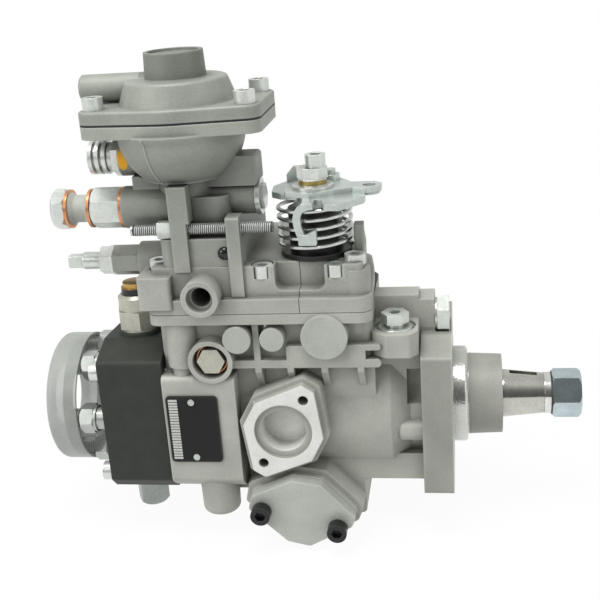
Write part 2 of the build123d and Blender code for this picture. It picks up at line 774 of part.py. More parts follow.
def nut_and_washer():
    start = TAPER_END
    seat = start + WASHER_THICK
    washer = rod_x(start, seat, WASHER_R) - rod_x(start - 1, seat + 1, THREAD_R + 0.4)
    washer -= block(start - 1, seat + 1, -1, 1, -WASHER_R - 1, -THREAD_R + 2)
    nut = hex_x(seat, seat + NUT_HEIGHT, NUT_FLATS)
    bound = rod_x(seat, seat + NUT_HEIGHT, NUT_FLATS / math.sqrt(3))
    nut &= chamfer(bound.edges().filter_by(GeomType.CIRCLE), 1.4)
    nut -= rod_x(seat - 1, seat + NUT_HEIGHT + 1, THREAD_R + SEAT_FIT)
    return Compound(children=[washer, nut])


def drive_gear():
    gear = plate_x(gear_sketch(DRIVE_TEETH, GEAR_MODULE), GEAR_FRONT - GEAR_WIDTH, GEAR_FRONT)
    return gear - rod_x(GEAR_FRONT - GEAR_WIDTH - 1, GEAR_FRONT + 1, SHAFT_R + RUN_FIT)


def governor_cage():
    # A tooth gap of this gear faces the tooth of the drive gear that stands on top.
    turn = 180 / GOVERNOR_TEETH if GOVERNOR_TEETH % 2 == 0 else 0
    sketch = Rot(0, 0, 90 + turn) * gear_sketch(GOVERNOR_TEETH, GEAR_MODULE)
    cage = plate_x(Pos(0, GOVERNOR_HEIGHT) * sketch, GEAR_FRONT - GEAR_WIDTH, GEAR_FRONT)
    rear = RING_FRONT + 1.5
    front = GEAR_FRONT - GEAR_WIDTH - MOVE_GAP
    cage += rod_x(front, GEAR_FRONT - GEAR_WIDTH, 13.5, 0, GOVERNOR_HEIGHT)
    cup = rod_x(rear, front, 20.5, 0, GOVERNOR_HEIGHT) - rod_x(rear - 1, front - 2, 18.7, 0, GOVERNOR_HEIGHT)
    cup -= block(rear - 1, front - 3, -5, 5, GOVERNOR_HEIGHT - 25, GOVERNOR_HEIGHT + 25)
    cup -= block(rear - 1, front - 3, -25, 25, GOVERNOR_HEIGHT - 5, GOVERNOR_HEIGHT + 5)
    cage += cup
    return cage - rod_x(rear - 1, GEAR_FRONT + 1, 4 + RUN_FIT, 0, GOVERNOR_HEIGHT)


def flyweights():
    rear = RING_FRONT + 2
    front = GEAR_FRONT - GEAR_WIDTH - MOVE_GAP - 2 - SEAT_FIT
    weights = []
    for index in range(4):
        weight = rod_x(rear, front, 18.6) - rod_x(rear - 1, front + 1, 8)
        weight &= block(rear - 1, front + 1, 3, 25, 3, 25)
        weights.append(Pos(0, 0, GOVERNOR_HEIGHT) * Rot(90 * index, 0, 0) * weight)
    return Compound(children=weights)


def governor_shaft():
    return rod_x(-99, BORE_START + 3, 4, 0, GOVERNOR_HEIGHT)


def governor_sleeve():
    z = GOVERNOR_HEIGHT
    sleeve = rod_x(-102, RING_FRONT + 1, 6.5, 0, z) + rod_x(-105.7, -102, 2, 0, z)
    sleeve += rod_x(RING_FRONT - 2, RING_FRONT + 1, 7.5, 0, z)
    return sleeve - rod_x(-100.5, RING_FRONT + 2, 4 + RUN_FIT, 0, z)


def governor_lever():
    bar = block(-110, -106, -6, 6, 12, 62)
    bar += rod_y(-CHAMBER_HALF + MOVE_GAP, CHAMBER_HALF - MOVE_GAP, 3, -108, 34)
    bar += block(SLEEVE_CENTRE - 3, -106, -3, 3, 12.5, 16)
    bar += rod_z(9.8, 13, 2, SLEEVE_CENTRE, 0)
    return bar


def governor_spring():
    return Pos(-105.7, -4, 58.5) * Rot(0, 90, 0) * coil(3.6, 0.7, 28, 7)


def coupling_disc():
    front = HUB_FRONT - HUB_THICK - SEAT_FIT
    disc = rod_x(front - DISC_THICK, front, HUB_R)
    gap = 0.15
    for side in (-1, 1):
        low, high = sorted((side * (DOG_INNER - gap), side * (HUB_R + 1)))
        disc -= block(front - DISC_THICK - 1, front + 1, -DOG_WIDTH / 2 - gap, DOG_WIDTH / 2 + gap, low, high)
        disc -= block(front - DISC_THICK - 1, front + 1, low, high, -DOG_WIDTH / 2 - gap, DOG_WIDTH / 2 + gap)
    return disc


def cam_face_x():
    return RING_REAR - ROLLER_STAND - CAM_GAP


def cam_plate():
    top = cam_face_x()
    base = top - CAM_LIFT
    plate = rod_x(base - CAM_THICK, base, CAM_R)
    lobes = None
    for index in range(CAM_LOBES):
        nose = Pos(top - CAM_NOSE_R, 0, 0) * Cylinder(CAM_NOSE_R, CAM_R, align=(Align.CENTER, Align.CENTER, Align.MIN))
        nose = Rot(360 / CAM_LOBES * index, 0, 0) * nose
        lobes = nose if lobes is None else lobes + nose
    annulus = rod_x(base - 1, top, CAM_R) - rod_x(base - 2, top + 1, RING_BORE)
    plate += lobes & annulus
    reach = HUB_FRONT - HUB_THICK - DISC_THICK
    for side in (-1, 1):
        low, high = sorted((side * DOG_INNER, side * DOG_OUTER))
        plate += block(base - 1, reach + DISC_THICK, low, high, -DOG_WIDTH / 2, DOG_WIDTH / 2)
    return plate


def roller_places():
    return [360 / ROLLERS * index for index in range(ROLLERS)]


def roller_centre_x():
    return RING_REAR - ROLLER_STAND + ROLLER_R


def roller_ring():
    ring = rod_x(RING_REAR, RING_FRONT, RING_R) - rod_x(RING_REAR - 1, RING_FRONT + 1, RING_BORE)
    low = ROLLER_TRACK_R - ROLLER_LENGTH / 2 - MOVE_GAP
    high = ROLLER_TRACK_R + ROLLER_LENGTH / 2 + MOVE_GAP
    for angle in roller_places():
        pocket = block(RING_REAR - 1, roller_centre_x() + ROLLER_R + MOVE_GAP, -ROLLER_R - MOVE_GAP,
                       ROLLER_R + MOVE_GAP, low, high)
        ring -= Rot(angle, 0, 0) * pocket
        ring += Rot(angle, 0, 0) * rod_z(RING_BORE + 1, RING_R - 0.5, 2.5, roller_centre_x(), 0)
    ring += rod_z(TIMING_Z - 3, -RING_R + 2, PIN_R, TIMING_X, 0)
    return ring


def cam_rollers():
    rollers = []
    for angle in roller_places():
        low = ROLLER_TRACK_R - ROLLER_LENGTH / 2
        roller = rod_z(low, low + ROLLER_LENGTH, ROLLER_R, roller_centre_x(), 0)
        roller -= rod_z(low - 1, low + ROLLER_LENGTH + 1, 2.5 + RUN_FIT, roller_centre_x(), 0)
        rollers.append(Rot(angle, 0, 0) * roller)
    return Compound(children=rollers)


def timing_piston():
    piston = rod_y(-PISTON_HALF, PISTON_HALF, PISTON_R, TIMING_X, TIMING_Z)
    piston -= rod_y(-PISTON_HALF - 1, -PISTON_HALF + 12, PISTON_R - 2.5, TIMING_X, TIMING_Z)
    return piston - rod_z(TIMING_Z - PISTON_R - 1, TIMING_Z + PISTON_R + 1, PIN_R + 0.9, TIMING_X, 0)


def timing_spring():
    start = -PISTON_HALF + 12
    length = TIMING_FACE - start
    return Pos(TIMING_X, start - 0.1, TIMING_Z) * Rot(90, 0, 0) * coil(4.6, 0.9, -length - 0.2, 7)


def timing_cover():
    cover = plate_y(timing_outline(-0.5), TIMING_FACE - TIMING_COVER_THICK, TIMING_FACE)
    for x, z in timing_screw_places():
        cover -= rod_y(TIMING_FACE - 20, TIMING_FACE + 1, SCREW_R + SCREW_FIT, x, z)
    return cover


def timing_cover_rear():
    cover = plate_y(timing_outline(-0.5), TIMING_BACK, TIMING_BACK + TIMING_COVER_THICK)
    for x, z in timing_screw_places():
        cover -= rod_y(TIMING_BACK - 1, TIMING_BACK + 20, SCREW_R + SCREW_FIT, x, z)
    return cover


def housing_screws():
    # The screws of the two timing covers are the same.
    screws = []
    for x, z in timing_screw_places():
        screws.append(Pos(x, TIMING_FACE - TIMING_COVER_THICK, z) * Rot(90, 0, 0) * socket_screw(17))
        screws.append(Pos(x, TIMING_BACK + TIMING_COVER_THICK, z) * Rot(-90, 0, 0) * socket_screw(17))
    return Compound(children=screws)


def plunger():
    rear = cam_face_x() - CAM_LIFT - CAM_THICK
    body = rod_x(BARREL_REAR + 6, rear, PLUNGER_R)
    return body + rod_x(rear - FOOT_THICK, rear, FOOT_R)


def bridge_front():
    return cam_face_x() - CAM_LIFT - CAM_THICK - FOOT_THICK - MOVE_GAP


def spring_bridge():
    front = bridge_front()
    outline = rounded([(-SPRING_SIDE - 6, -7), (SPRING_SIDE + 6, -7), (SPRING_SIDE + 6, 7), (-SPRING_SIDE - 6, 7)], 5)
    bridge = plate_x(outline, front - BRIDGE_THICK, front)
    bridge -= rod_x(front - BRIDGE_THICK - 1, front + 1, PLUNGER_R + MOVE_GAP)
    for side in (-1, 1):
        bridge += rod_x(HEAD_SPIGOT, front, 2.2, side * SPRING_SIDE, 0)
    return bridge


def plunger_springs():
    start = HEAD_SPIGOT + 0.1
    length = bridge_front() - BRIDGE_THICK - start - 0.1
    coils = []
    for side in (-1, 1):
        spring = coil(PLUNGER_SPRING_R, PLUNGER_WIRE, length, 6)
        coils.append(Pos(start, side * SPRING_SIDE, 0) * Rot(0, 90, 0) * spring)
    return Compound(children=coils)


def control_sleeve():
    low = SLEEVE_CENTRE - SLEEVE_LENGTH / 2
    high = SLEEVE_CENTRE + SLEEVE_LENGTH / 2
    sleeve = rod_x(low, high, SLEEVE_R) - rod_x(low - 1, high + 1, PLUNGER_R + RUN_FIT)
    groove = rod_x(SLEEVE_CENTRE - GROOVE_WIDTH / 2, SLEEVE_CENTRE + GROOVE_WIDTH / 2, SLEEVE_R + 1)
    groove -= rod_x(low, high, GROOVE_R)
    return sleeve - groove


def head_outline():
    points = [
        (-HEAD_HALF_WIDTH, -HEAD_LOW_SIDE),
        (-HEAD_LOW_HALF, -HEAD_BOTTOM),
        (HEAD_LOW_HALF, -HEAD_BOTTOM),
        (HEAD_HALF_WIDTH, -HEAD_LOW_SIDE),
        (HEAD_HALF_WIDTH, HEAD_SHOULDER - 8),
        (30, HEAD_SHOULDER),
        (0, HEAD_ROOF - 1.5),
        (-HEAD_TOP_HALF, HEAD_ROOF),
        (-HEAD_HALF_WIDTH, HEAD_SHOULDER),
    ]
    return rounded(points, 3)


def distributor_head():
    head = plate_x(head_outline(), HEAD_REAR, REAR_FACE)
    head += rod_x(REAR_FACE, HEAD_SPIGOT, BORE_R - SEAT_FIT)
    head += rod_x(HEAD_REAR - HEAD_BOSS_LENGTH, HEAD_REAR, HEAD_BOSS_R)
    head += rod_z(HEAD_SHOULDER, HEAD_TOP, SOLENOID_FLATS / 2 + 1.2, SOLENOID_X, SOLENOID_Y)
    head -= rod_x(BARREL_REAR, HEAD_SPIGOT + 1, BARREL_R + SEAT_FIT)
    head -= rod_x(HEAD_REAR - HEAD_BOSS_LENGTH - 1, BARREL_REAR + 1, HEAD_PLUG_R - 2 + SEAT_FIT)
    for y, z in valve_places():
        head -= rod_x(HEAD_REAR - 1, HEAD_REAR + HOLDER_DEPTH, HOLDER_THREAD_R + SEAT_FIT, y, z)
        head -= rod_x(HEAD_REAR, HEAD_REAR + HOLDER_DEPTH + 6, HOLDER_BORE_R, y, z)
    for y, z in head_screw_places():
        head -= rod_x(HEAD_REAR - 1, REAR_FACE + 1, SCREW_R + SCREW_FIT, y, z)
    # Seats of the shut-off solenoid on top and of the bleed screw below.
    head -= rod_z(26, HEAD_TOP + 1, 6 + SEAT_FIT, SOLENOID_X, SOLENOID_Y)
    head -= rod_z(-HEAD_BOTTOM - 1, -HEAD_BOTTOM + BLEED_DEPTH + 0.5, 5 + SEAT_FIT, BLEED_X, SOLENOID_Y)
    return head


def distributor_barrel():
    barrel = rod_x(BARREL_REAR + SEAT_FIT, HEAD_SPIGOT + 3, BARREL_R)
    return barrel - rod_x(BARREL_REAR + 3, HEAD_SPIGOT + 4, PLUNGER_R + RUN_FIT)


def head_plug():
    front = HEAD_REAR - HEAD_BOSS_LENGTH
    plug = rod_x(front, BARREL_REAR, HEAD_PLUG_R - 2)
    plug += rod_x(front - 5, front, HEAD_PLUG_R)
    return plug - hex_x(front - 6, front - 2, 8)


def delivery_holders():
    holders = []
    body_end = HEAD_REAR - HOLDER_BODY_LENGTH
    hex_end = body_end - HOLDER_HEX_LENGTH
    tip = hex_end - HOLDER_TIP_LENGTH
    for y, z in valve_places():
        holder = rod_x(HEAD_REAR, HEAD_REAR + HOLDER_DEPTH - 4, HOLDER_THREAD_R, y, z)
        holder += rod_x(body_end, HEAD_REAR, HOLDER_BODY_R, y, z)
        holder += rod_x(body_end - 1, body_end + 1.5, HOLDER_COLLAR_R, y, z)
        nut = hex_x(hex_end, body_end, HOLDER_FLATS, y, z)
        bound = rod_x(hex_end, body_end + 1, HOLDER_FLATS / math.sqrt(3), y, z)
        nut &= chamfer(bound.edges().filter_by(GeomType.CIRCLE).sort_by(Axis.X)[:1], 1.0)
        holder += nut
        holder += rod_x(tip + 1, hex_end, HOLDER_THREAD_R, y, z)
        holder += cone_x(tip, tip + 1, HOLDER_THREAD_R - 0.8, HOLDER_THREAD_R, y, z)
        holder -= rod_x(tip - 1, tip + 6, 2.0, y, z)
        holder -= rod_x(body_end, HEAD_REAR + HOLDER_DEPTH, 3.0, y, z)
        holders.append(holder)
    return Compound(children=holders)


def delivery_valves():
    valves = []
    for y, z in valve_places():
        seat = HEAD_REAR + HOLDER_DEPTH
        valve = rod_x(seat - 9, seat - 6, 2.7, y, z) + rod_x(seat - 6, seat + 5, HOLDER_BORE_R - RUN_FIT, y, z)
        valves.append(valve)
    return Compound(children=valves)


def holder_tip_x():
    return HEAD_REAR - HOLDER_BODY_LENGTH - HOLDER_HEX_LENGTH - HOLDER_TIP_LENGTH


def shipping_cap():
    # A ring with a thin rim that reaches over the holders' tips.
    floor = holder_tip_x() - MOVE_GAP
    cap = rod_x(floor - CAP_FLOOR, floor + CAP_RIM, CAP_R)
    cap = fillet(cap.edges().filter_by(GeomType.CIRCLE).sort_by(Axis.X)[:1], 3.5)
    cap -= rod_x(floor - CAP_FLOOR - 1, floor + CAP_RIM + 1, CAP_BORE_R)
    room = VALVE_CIRCLE_R + HOLDER_THREAD_R + MOVE_GAP
    return cap - rod_x(floor, floor + CAP_RIM + 1, room)


def solenoid_body():
    x, y = SOLENOID_X, SOLENOID_Y
    hex_top = HEAD_TOP + SOLENOID_HEX
    top = hex_top + SOLENOID_NECK
    body = rod_z(28, HEAD_TOP, 6, x, y) + rod_z(HEAD_TOP, HEAD_TOP + 1.5, SOLENOID_FLATS / 2, x, y)
    sketch = Pos(x, y) * RegularPolygon(SOLENOID_FLATS / 2, 6, major_radius=False, rotation=SOLENOID_TURN)
    body += plate_z(sketch, HEAD_TOP + 1.5, hex_top)
    neck = rod_z(hex_top, top, SOLENOID_FLATS / 2 - 0.3, x, y)
    body += chamfer(neck.edges().sort_by(Axis.Z)[-1:], 1.5)
    body -= rod_z(27, HEAD_TOP + 14, 3 + RUN_FIT, x, y)
    return body - rod_z(HEAD_TOP + 15, top + 1, 7.2 + SEAT_FIT, x, y)


def solenoid_insulator():
    # The insulator, with the terminal's nut on top.
    x, y = SOLENOID_X, SOLENOID_Y
    return rod_z(HEAD_TOP + 15, HEAD_TOP + 23, 7.2, x, y) + rod_z(HEAD_TOP + 23, HEAD_TOP + 25.5, 6.2, x, y)


def solenoid_pin():
    return rod_z(27.5, HEAD_TOP + 11, 3, SOLENOID_X, SOLENOID_Y)


def hex_bolts():
    # The lock bolt of the drive shaft, and the bleed screw under the head.
    head = LUG_X1 + 1.2
    bolt = rod_x(-22, LUG_X1, 4, LOCK_Y, LOCK_Z) + rod_x(LUG_X1, head, LOCK_FLATS / 2, LOCK_Y, LOCK_Z)
    bolt += hex_x(head, LUG_X1 + LOCK_HEAD, LOCK_FLATS, LOCK_Y, LOCK_Z, 30)
    x, y = BLEED_X, SOLENOID_Y
    low = -HEAD_BOTTOM
    nut = hex_z(low - BLEED_LENGTH, low, BLEED_FLATS, x, y)
    bound = rod_z(low - BLEED_LENGTH, low, BLEED_FLATS / math.sqrt(3), x, y)
    nut &= chamfer(bound.edges().sort_by(Axis.Z)[:1], 1.5)
    return Compound(children=[bolt, rod_z(low, low + BLEED_DEPTH, 5, x, y) + nut])


def name_plate():
    points = [(NAME_LEFT, NAME_LOW), (NAME_RIGHT, NAME_LOW), (NAME_RIGHT, NAME_HIGH), (NAME_LEFT, NAME_HIGH)]
    plate = plate_y(rounded(points, 2), PAD_FACE - NAME_THICK, PAD_FACE)
    middle = (NAME_LEFT + NAME_RIGHT) / 2
    for z in (NAME_HIGH - 3, NAME_LOW + 3):
        plate += rod_y(PAD_FACE - NAME_THICK - 0.8, PAD_FACE - NAME_THICK, RIVET_R, middle, z)
    return plate


def side_plug():
    seat = PORT_FACE + SIDE_PORT_DEPTH
    plug = rod_y(seat, seat + 12, SIDE_PLUG_R, SIDE_PORT_X, SIDE_PORT_Z)
    sketch = Pos(SIDE_PORT_X, SIDE_PORT_Z) * RegularPolygon(6.2, 6, major_radius=False)
    return plug + plate_y(sketch, seat - COPPER_THICK - 4, seat)


def regulating_valve():
    x, y = VALVE_X, VALVE_Y
    seat = VALVE_LUG_TOP - 1.5
    valve = rod_z(40, seat, 6, x, y) + cone_z(seat, seat + 1.5, 9.2, 8.2, x, y)
    valve += rod_z(seat + 1.5, seat + 3.5, 4.5, x, y) + hex_z(seat + 3.5, seat + 8.5, 12, x, y)
    return valve - rod_z(seat + 1.5, seat + 9, 2.6, x, y)


def cover_posts():
    # Two posts that carry the stop screw. Each runs out forwards on the cover's side.
    tall = block(-131, -121.5, POST_FRONT, POST_BACK, 108, 126)
    tall += block(-131, -123, POST_FRONT, POST_BACK, 84, 109)
    low = STOP_SCREW_Z + 6
    short = plate_x(rounded([(POST_FRONT, 70), (POST_FRONT, low), (-33, low), (-30, 84), (-30, 70)], 1.5), -104, -97.5)
    return tall + short


def cover_castings():
    body = plate_z(top_outline(), TOP_FACE, TOP_FACE + COVER_BAND)
    body += plate_z(offset(top_outline(), amount=-COVER_INSET), TOP_FACE + COVER_BAND, COVER_DECK)
    # Round column of the third front screw, and the left ears with their screw pockets.
    body += rod_z(TOP_FACE, COVER_DECK - 3, 7.2, -44.5, -36)
    ear = rounded([(-150, -47.5), (-133, -47.5), (-133, -22), (-150, -22)], 2)
    body += plate_z(ear, 66, LEFT_EAR_SEAT + 1.5)
    body += block(-147, -133, 22, 40, 66, LEFT_EAR_SEAT)
    raised = rounded([(BLOCK_LEFT, BLOCK_FRONT), (BLOCK_RIGHT, BLOCK_FRONT), (BLOCK_RIGHT, 26), (BLOCK_LEFT, 26)], 5)
    body += plate_z(raised, TOP_FACE + COVER_BAND, BLOCK_TOP)
    body += cover_posts()
    # Full-load screw boss, and the inlet port.
    body += rod_x(FULL_LOAD_SEAT, -130, 9.5, FULL_LOAD_Y, FULL_LOAD_Z)
    body += rod_y(INLET_FACE, -30, INLET_R, INLET_X, INLET_Z)
    # Lug of the lever spring.
    lug = rounded([(-45.2, -27.5), (-40.6, -27.5), (-40.6, -20.5), (-45.2, -20.5)], 1)
    return body + plate_z(lug, COVER_DECK - 4, 101)


def governor_cover():
    body = cover_castings()
    # Pocket between the two front screw bosses.
    pocket = rounded([(-82.5, 73.5), (-58.5, 73.5), (-58.5, COVER_DECK + 6), (-82.5, COVER_DECK + 6)], 4)
    body -= plate_y(pocket, COVER_SIDE - 4, POST_BACK) & block(-90, -50, -60, 0, 60, COVER_DECK + 1)
    # Inside of the cover, with the room over the governor's gear.
    ceiling = COVER_DECK - COVER_WALL
    body -= block(CHAMBER_REAR, -54, -CHAMBER_HALF, CHAMBER_HALF, TOP_FACE - 1, ceiling)
    body -= block(-60, CHAMBER_FRONT, -12, 12, TOP_FACE - 1, TOP_FACE + 5)
    body -= rod_z(TOP_FACE, COVER_DECK + 5, LEVER_SHAFT_R + RUN_FIT, LEVER_X, LEVER_Y)
    body -= rod_z(ceiling - 1, BLOCK_TOP + 1, BOOST_PIN_R + 1, BOOST_X, BOOST_Y)
    body -= rod_y(INLET_FACE - 1, INLET_FACE + 4, INLET_SEAT_R, INLET_X, INLET_Z)
    body -= rod_y(INLET_FACE, -27, INLET_BORE_R, INLET_X, INLET_Z)
    body -= rod_x(FULL_LOAD_SEAT - 1, CHAMBER_REAR + 1, 5 + SEAT_FIT, FULL_LOAD_Y, FULL_LOAD_Z)
    for start, end in ((-132, -121), (-105, -96)):
        body -= rod_x(start, end, STOP_SCREW_R + SEAT_FIT, STOP_SCREW_Y, STOP_SCREW_Z)
    for x, y, seat in cover_screw_places():
        body -= rod_z(TOP_FACE - 1, seat + 1, SCREW_R + SCREW_FIT, x, y)
        body -= rod_z(seat, seat + 8, SCREW_HEAD_R + 0.6, x, y)
    return body


def cover_screws():
    # The screws of the governor cover, of the boost unit's cover and of the distributor head.
    screws = [Pos(x, y, seat) * socket_screw(seat - TOP_FACE + 12) for x, y, seat in cover_screw_places()]
    boost_seat = BOOST_SEAM + DIAPHRAGM_THICK + BOOST_PLATE
    for x, y in boost_screw_places():
        screws.append(Pos(x, y, boost_seat) * socket_screw(BOOST_PLATE + DIAPHRAGM_THICK + BOOST_PLATE - 1))
    for y, z in head_screw_places():
        length = REAR_FACE - HEAD_REAR + 12
        screws.append(Pos(HEAD_REAR, y, z) * Rot(0, -90, 0) * socket_screw(length))
    return Compound(children=screws)


def adjusting_screws():
    # The full-load screw, and the screw that stops the control lever.
    y, z = FULL_LOAD_Y, FULL_LOAD_Z
    neck = FULL_LOAD_HEX_END
    screw = rod_x(FULL_LOAD_SEAT, CHAMBER_REAR - 4, 5, y, z)
    screw += hex_x(neck, FULL_LOAD_SEAT, FULL_LOAD_FLATS, y, z, 30)
    screw += rod_x(neck - 15, neck, 4.5, y, z) + cone_x(neck - 16, neck - 15, 3.6, 4.5, y, z)
    screw += plate_x(Pos(y, z) * RectangleRounded(6.4, 6.4, 0.8), neck - 23, neck - 15)
    stop = rod_x(-151.5, STOP_SCREW_END, STOP_SCREW_R, STOP_SCREW_Y, STOP_SCREW_Z)
    return Compound(children=[screw, stop])


def lock_nuts():
    start = FULL_LOAD_HEX_END
    nut = hex_x(start - 5.4, start - SEAT_FIT, FULL_LOAD_FLATS - 1, FULL_LOAD_Y, FULL_LOAD_Z, 30)
    nut -= rod_x(start - 6, start + 1, 4.5 + SEAT_FIT, FULL_LOAD_Y, FULL_LOAD_Z)
    stop = hex_x(-138, -131 - SEAT_FIT, STOP_NUT_FLATS, STOP_SCREW_Y, STOP_SCREW_Z)
    stop -= rod_x(-139, -130, STOP_SCREW_R + SEAT_FIT, STOP_SCREW_Y, STOP_SCREW_Z)
    return Compound(children=[nut, stop])


def overflow_bolt_x():
    return OVERFLOW_END - 2 * COPPER_THICK - 10


def overflow_fitting():
    # The overflow valve, and the hollow bolt at its end.
    y, z = OVERFLOW_Y, OVERFLOW_Z
    seat = OVERFLOW_SEAT - COPPER_THICK
    body = rod_x(seat, -146, 5, y, z) + hex_x(OVERFLOW_END, seat, OVERFLOW_FLATS, y, z, 30)
    bound = rod_x(OVERFLOW_END, seat, OVERFLOW_FLATS / math.sqrt(3), y, z) + rod_x(seat, -146, 5, y, z)
    body &= chamfer(bound.edges().filter_by(GeomType.CIRCLE).sort_by(Axis.X)[:1], 1.5)
    start = overflow_bolt_x()
    bolt = rod_x(start, OVERFLOW_END, 3.5, y, z)
    head = hex_x(start - 7, start, OVERFLOW_FLATS, y, z, 30)
    disc = rod_x(start - 7, start, OVERFLOW_FLATS / math.sqrt(3), y, z)
    bolt += head & chamfer(disc.edges().filter_by(GeomType.CIRCLE), 1.5)
    return Compound(children=[body, bolt])


def overflow_sleeve():
    # A waisted sleeve between two copper washers.
    y, z = OVERFLOW_Y, OVERFLOW_Z
    right = OVERFLOW_END - COPPER_THICK
    sleeve = rod_x(right - 10, right, 6.8, y, z) + cone_x(right - 2.5, right, 6.8, 8.4, y, z)
    sleeve += cone_x(right - 10, right - 7.5, 8.4, 6.8, y, z)
    return sleeve - rod_x(right - 11, right + 1, 3.5 + SEAT_FIT, y, z)


def copper_washers():
    y, z = OVERFLOW_Y, OVERFLOW_Z
    washers = []
    left = overflow_bolt_x() + COPPER_THICK
    for front, radius, hole in ((OVERFLOW_SEAT, 10.2, 5), (OVERFLOW_END, 9.6, 3.5), (left, 9.6, 3.5)):
        washer = rod_x(front - COPPER_THICK, front, radius, y, z)
        washers.append(washer - rod_x(front - COPPER_THICK - 1, front + 1, hole + SEAT_FIT, y, z))
    return Compound(children=washers)


def boost_outline():
    # Four ears round the screws, joined by tangents to the round rim in the middle.
    x, y = BOOST_X, BOOST_Y
    rounds = [Pos(sx, sy) * Circle(BOOST_EAR_R) for sx, sy in boost_screw_places()]
    rounds.append(Pos(x, y) * Circle(BOOST_RIM_R))
    edges = [edge for item in rounds for edge in item.edges()]
    return make_hull(edges)


def bowl_profile():
    # Half the bowl's section, from the axis outwards.
    top = BOOST_SEAM - BOOST_PLATE
    outer = ThreePointArc((BOWL_R, top - 3), (BOWL_R - 2.5, top - 12), (BOWL_LOW_R, BOWL_LOW))
    line = Polyline((0, BOWL_LOW), (0, top + 1), (BOWL_R + 2, top + 1), (BOWL_R + 2, top), (BOWL_R, top - 3))
    close = Line((BOWL_LOW_R, BOWL_LOW), (0, BOWL_LOW))
    return make_face(Wire([*line.edges(), outer, close]))


def boost_housing():
    x, y = BOOST_X, BOOST_Y
    body = plate_z(boost_outline(), BOOST_SEAM - BOOST_PLATE, BOOST_SEAM)
    body += Pos(x, y, 0) * revolve(Plane.XZ * bowl_profile(), Axis.Z)
    foot = rounded([(-145, POST_BACK + 1.6), (-104, POST_BACK + 1.6), (-104, -6), (-145, -6)], 6)
    body += plate_z(foot, BLOCK_TOP, NECK_TOP - 8)
    body += cone_z(NECK_TOP - 10, BOWL_LOW + 3, 14.0, 14.6, x, y)
    body += rod_z(NECK_TOP, BOWL_LOW + 2, BOWL_LOW_R - 1.5, x, y)
    body += rod_x(OVERFLOW_SEAT, -131.5, OVERFLOW_BOSS_R, OVERFLOW_Y, OVERFLOW_Z) - block(
        -160, -100, -50, 0, BLOCK_TOP - 5, BLOCK_TOP)
    body += rod_x(UNION_SEAT, -131, 9.5, UNION_Y, UNION_Z)
    # Lug and side boss towards the control lever.
    body += plate_y(rounded([(-115, 122), (-90, 122), (-90, 136.5), (-115, 136.5)], 2), -28, -12)
    body += rod_x(-118, -92, 8.5, -20, 115)
    # Diaphragm chamber, spring room, pin bore and seats.
    body -= rod_z(144, BOOST_SEAM + 1, 24, x, y)
    body -= rod_z(128, 145, 12.5, x, y)
    body -= rod_z(BLOCK_TOP - 1, 129, BOOST_PIN_R + RUN_FIT, x, y)
    body -= rod_x(OVERFLOW_SEAT - 1, -144, 5 + SEAT_FIT, OVERFLOW_Y, OVERFLOW_Z)
    body -= rod_x(UNION_SEAT - 1, -148, 5 + SEAT_FIT, UNION_Y, UNION_Z)
    for sx, sy in boost_screw_places():
        body -= rod_z(BOOST_SEAM - BOOST_PLATE - 1, BOOST_SEAM + 1, SCREW_R + SEAT_FIT, sx, sy)
    return body


def boost_cover():
    x, y = BOOST_X, BOOST_Y
    low = BOOST_SEAM + DIAPHRAGM_THICK
    top = low + BOOST_PLATE
    body = fillet(plate_z(boost_outline(), low, top).edges().group_by(Axis.Z)[-1], 1.2)
    dome = cone_z(top, DOME_TOP, DOME_R, DOME_TOP_R, x, y)
    body += fillet(dome.edges().filter_by(GeomType.CIRCLE).sort_by(Axis.Z)[-1:], 2)
    body += cone_z(DOME_TOP, CAP_BOSS_TOP, CAP_BOSS_R + 0.4, CAP_BOSS_R - 0.2, x, y)
    pipe = rod_x(PIPE_END, -140, PIPE_R, PIPE_Y, PIPE_Z)
    body += fillet(pipe.edges().filter_by(GeomType.CIRCLE).sort_by(Axis.X)[:1], 1.5)
    body -= rod_z(CAP_BOSS_TOP - 1.2, CAP_BOSS_TOP + 1, CAP_BOSS_R - 2, x, y)
    body -= rod_z(low - 1, DOME_TOP - 3, 21.5, x, y)
    body -= rod_x(PIPE_END - 1, -145, 3.5, PIPE_Y, PIPE_Z - 2)
    for sx, sy in boost_screw_places():
        body -= rod_z(low - 1, top + 1, SCREW_R + SCREW_FIT, sx, sy)
    return body


def boost_diaphragm():
    disc = plate_z(boost_outline(), BOOST_SEAM, BOOST_SEAM + DIAPHRAGM_THICK)
    disc -= rod_z(BOOST_SEAM - 1, BOOST_SEAM + 2, BOOST_PIN_R, BOOST_X, BOOST_Y)
    for sx, sy in boost_screw_places():
        disc -= rod_z(BOOST_SEAM - 1, BOOST_SEAM + 2, SCREW_R + SCREW_FIT, sx, sy)
    return disc


def boost_pin():
    x, y = BOOST_X, BOOST_Y
    pin = rod_z(COVER_DECK + 3, BOOST_SEAM + 4, BOOST_PIN_R, x, y)
    pin += rod_z(BOOST_SEAM + DIAPHRAGM_THICK, BOOST_SEAM + 3, 18, x, y)
    return pin + rod_z(BOOST_SEAM - 2, BOOST_SEAM, 18, x, y)


def boost_spring():
    return Pos(BOOST_X, BOOST_Y, 128.2) * coil(9.5, 1.1, BOOST_SEAM - 2 - 128.4, 5)


def boost_union():
    # A threaded end, a collar on its seat and the ribbed connector.
    y, z, x = UNION_Y, UNION_Z, UNION_SEAT
    union = rod_x(x, -150, 5, y, z) + hex_x(x - 3.5, x, 2 * UNION_R, y, z, 30)
    union += rod_x(x - 6, x - 3.5, UNION_R - 1, y, z)
    union += rod_x(x - 16, x - 6, UNION_R - 1.6, y, z)
    for step in range(3):
        union += rod_x(x - 8.5 - 3.5 * step, x - 6.5 - 3.5 * step, UNION_R, y, z)
    return union


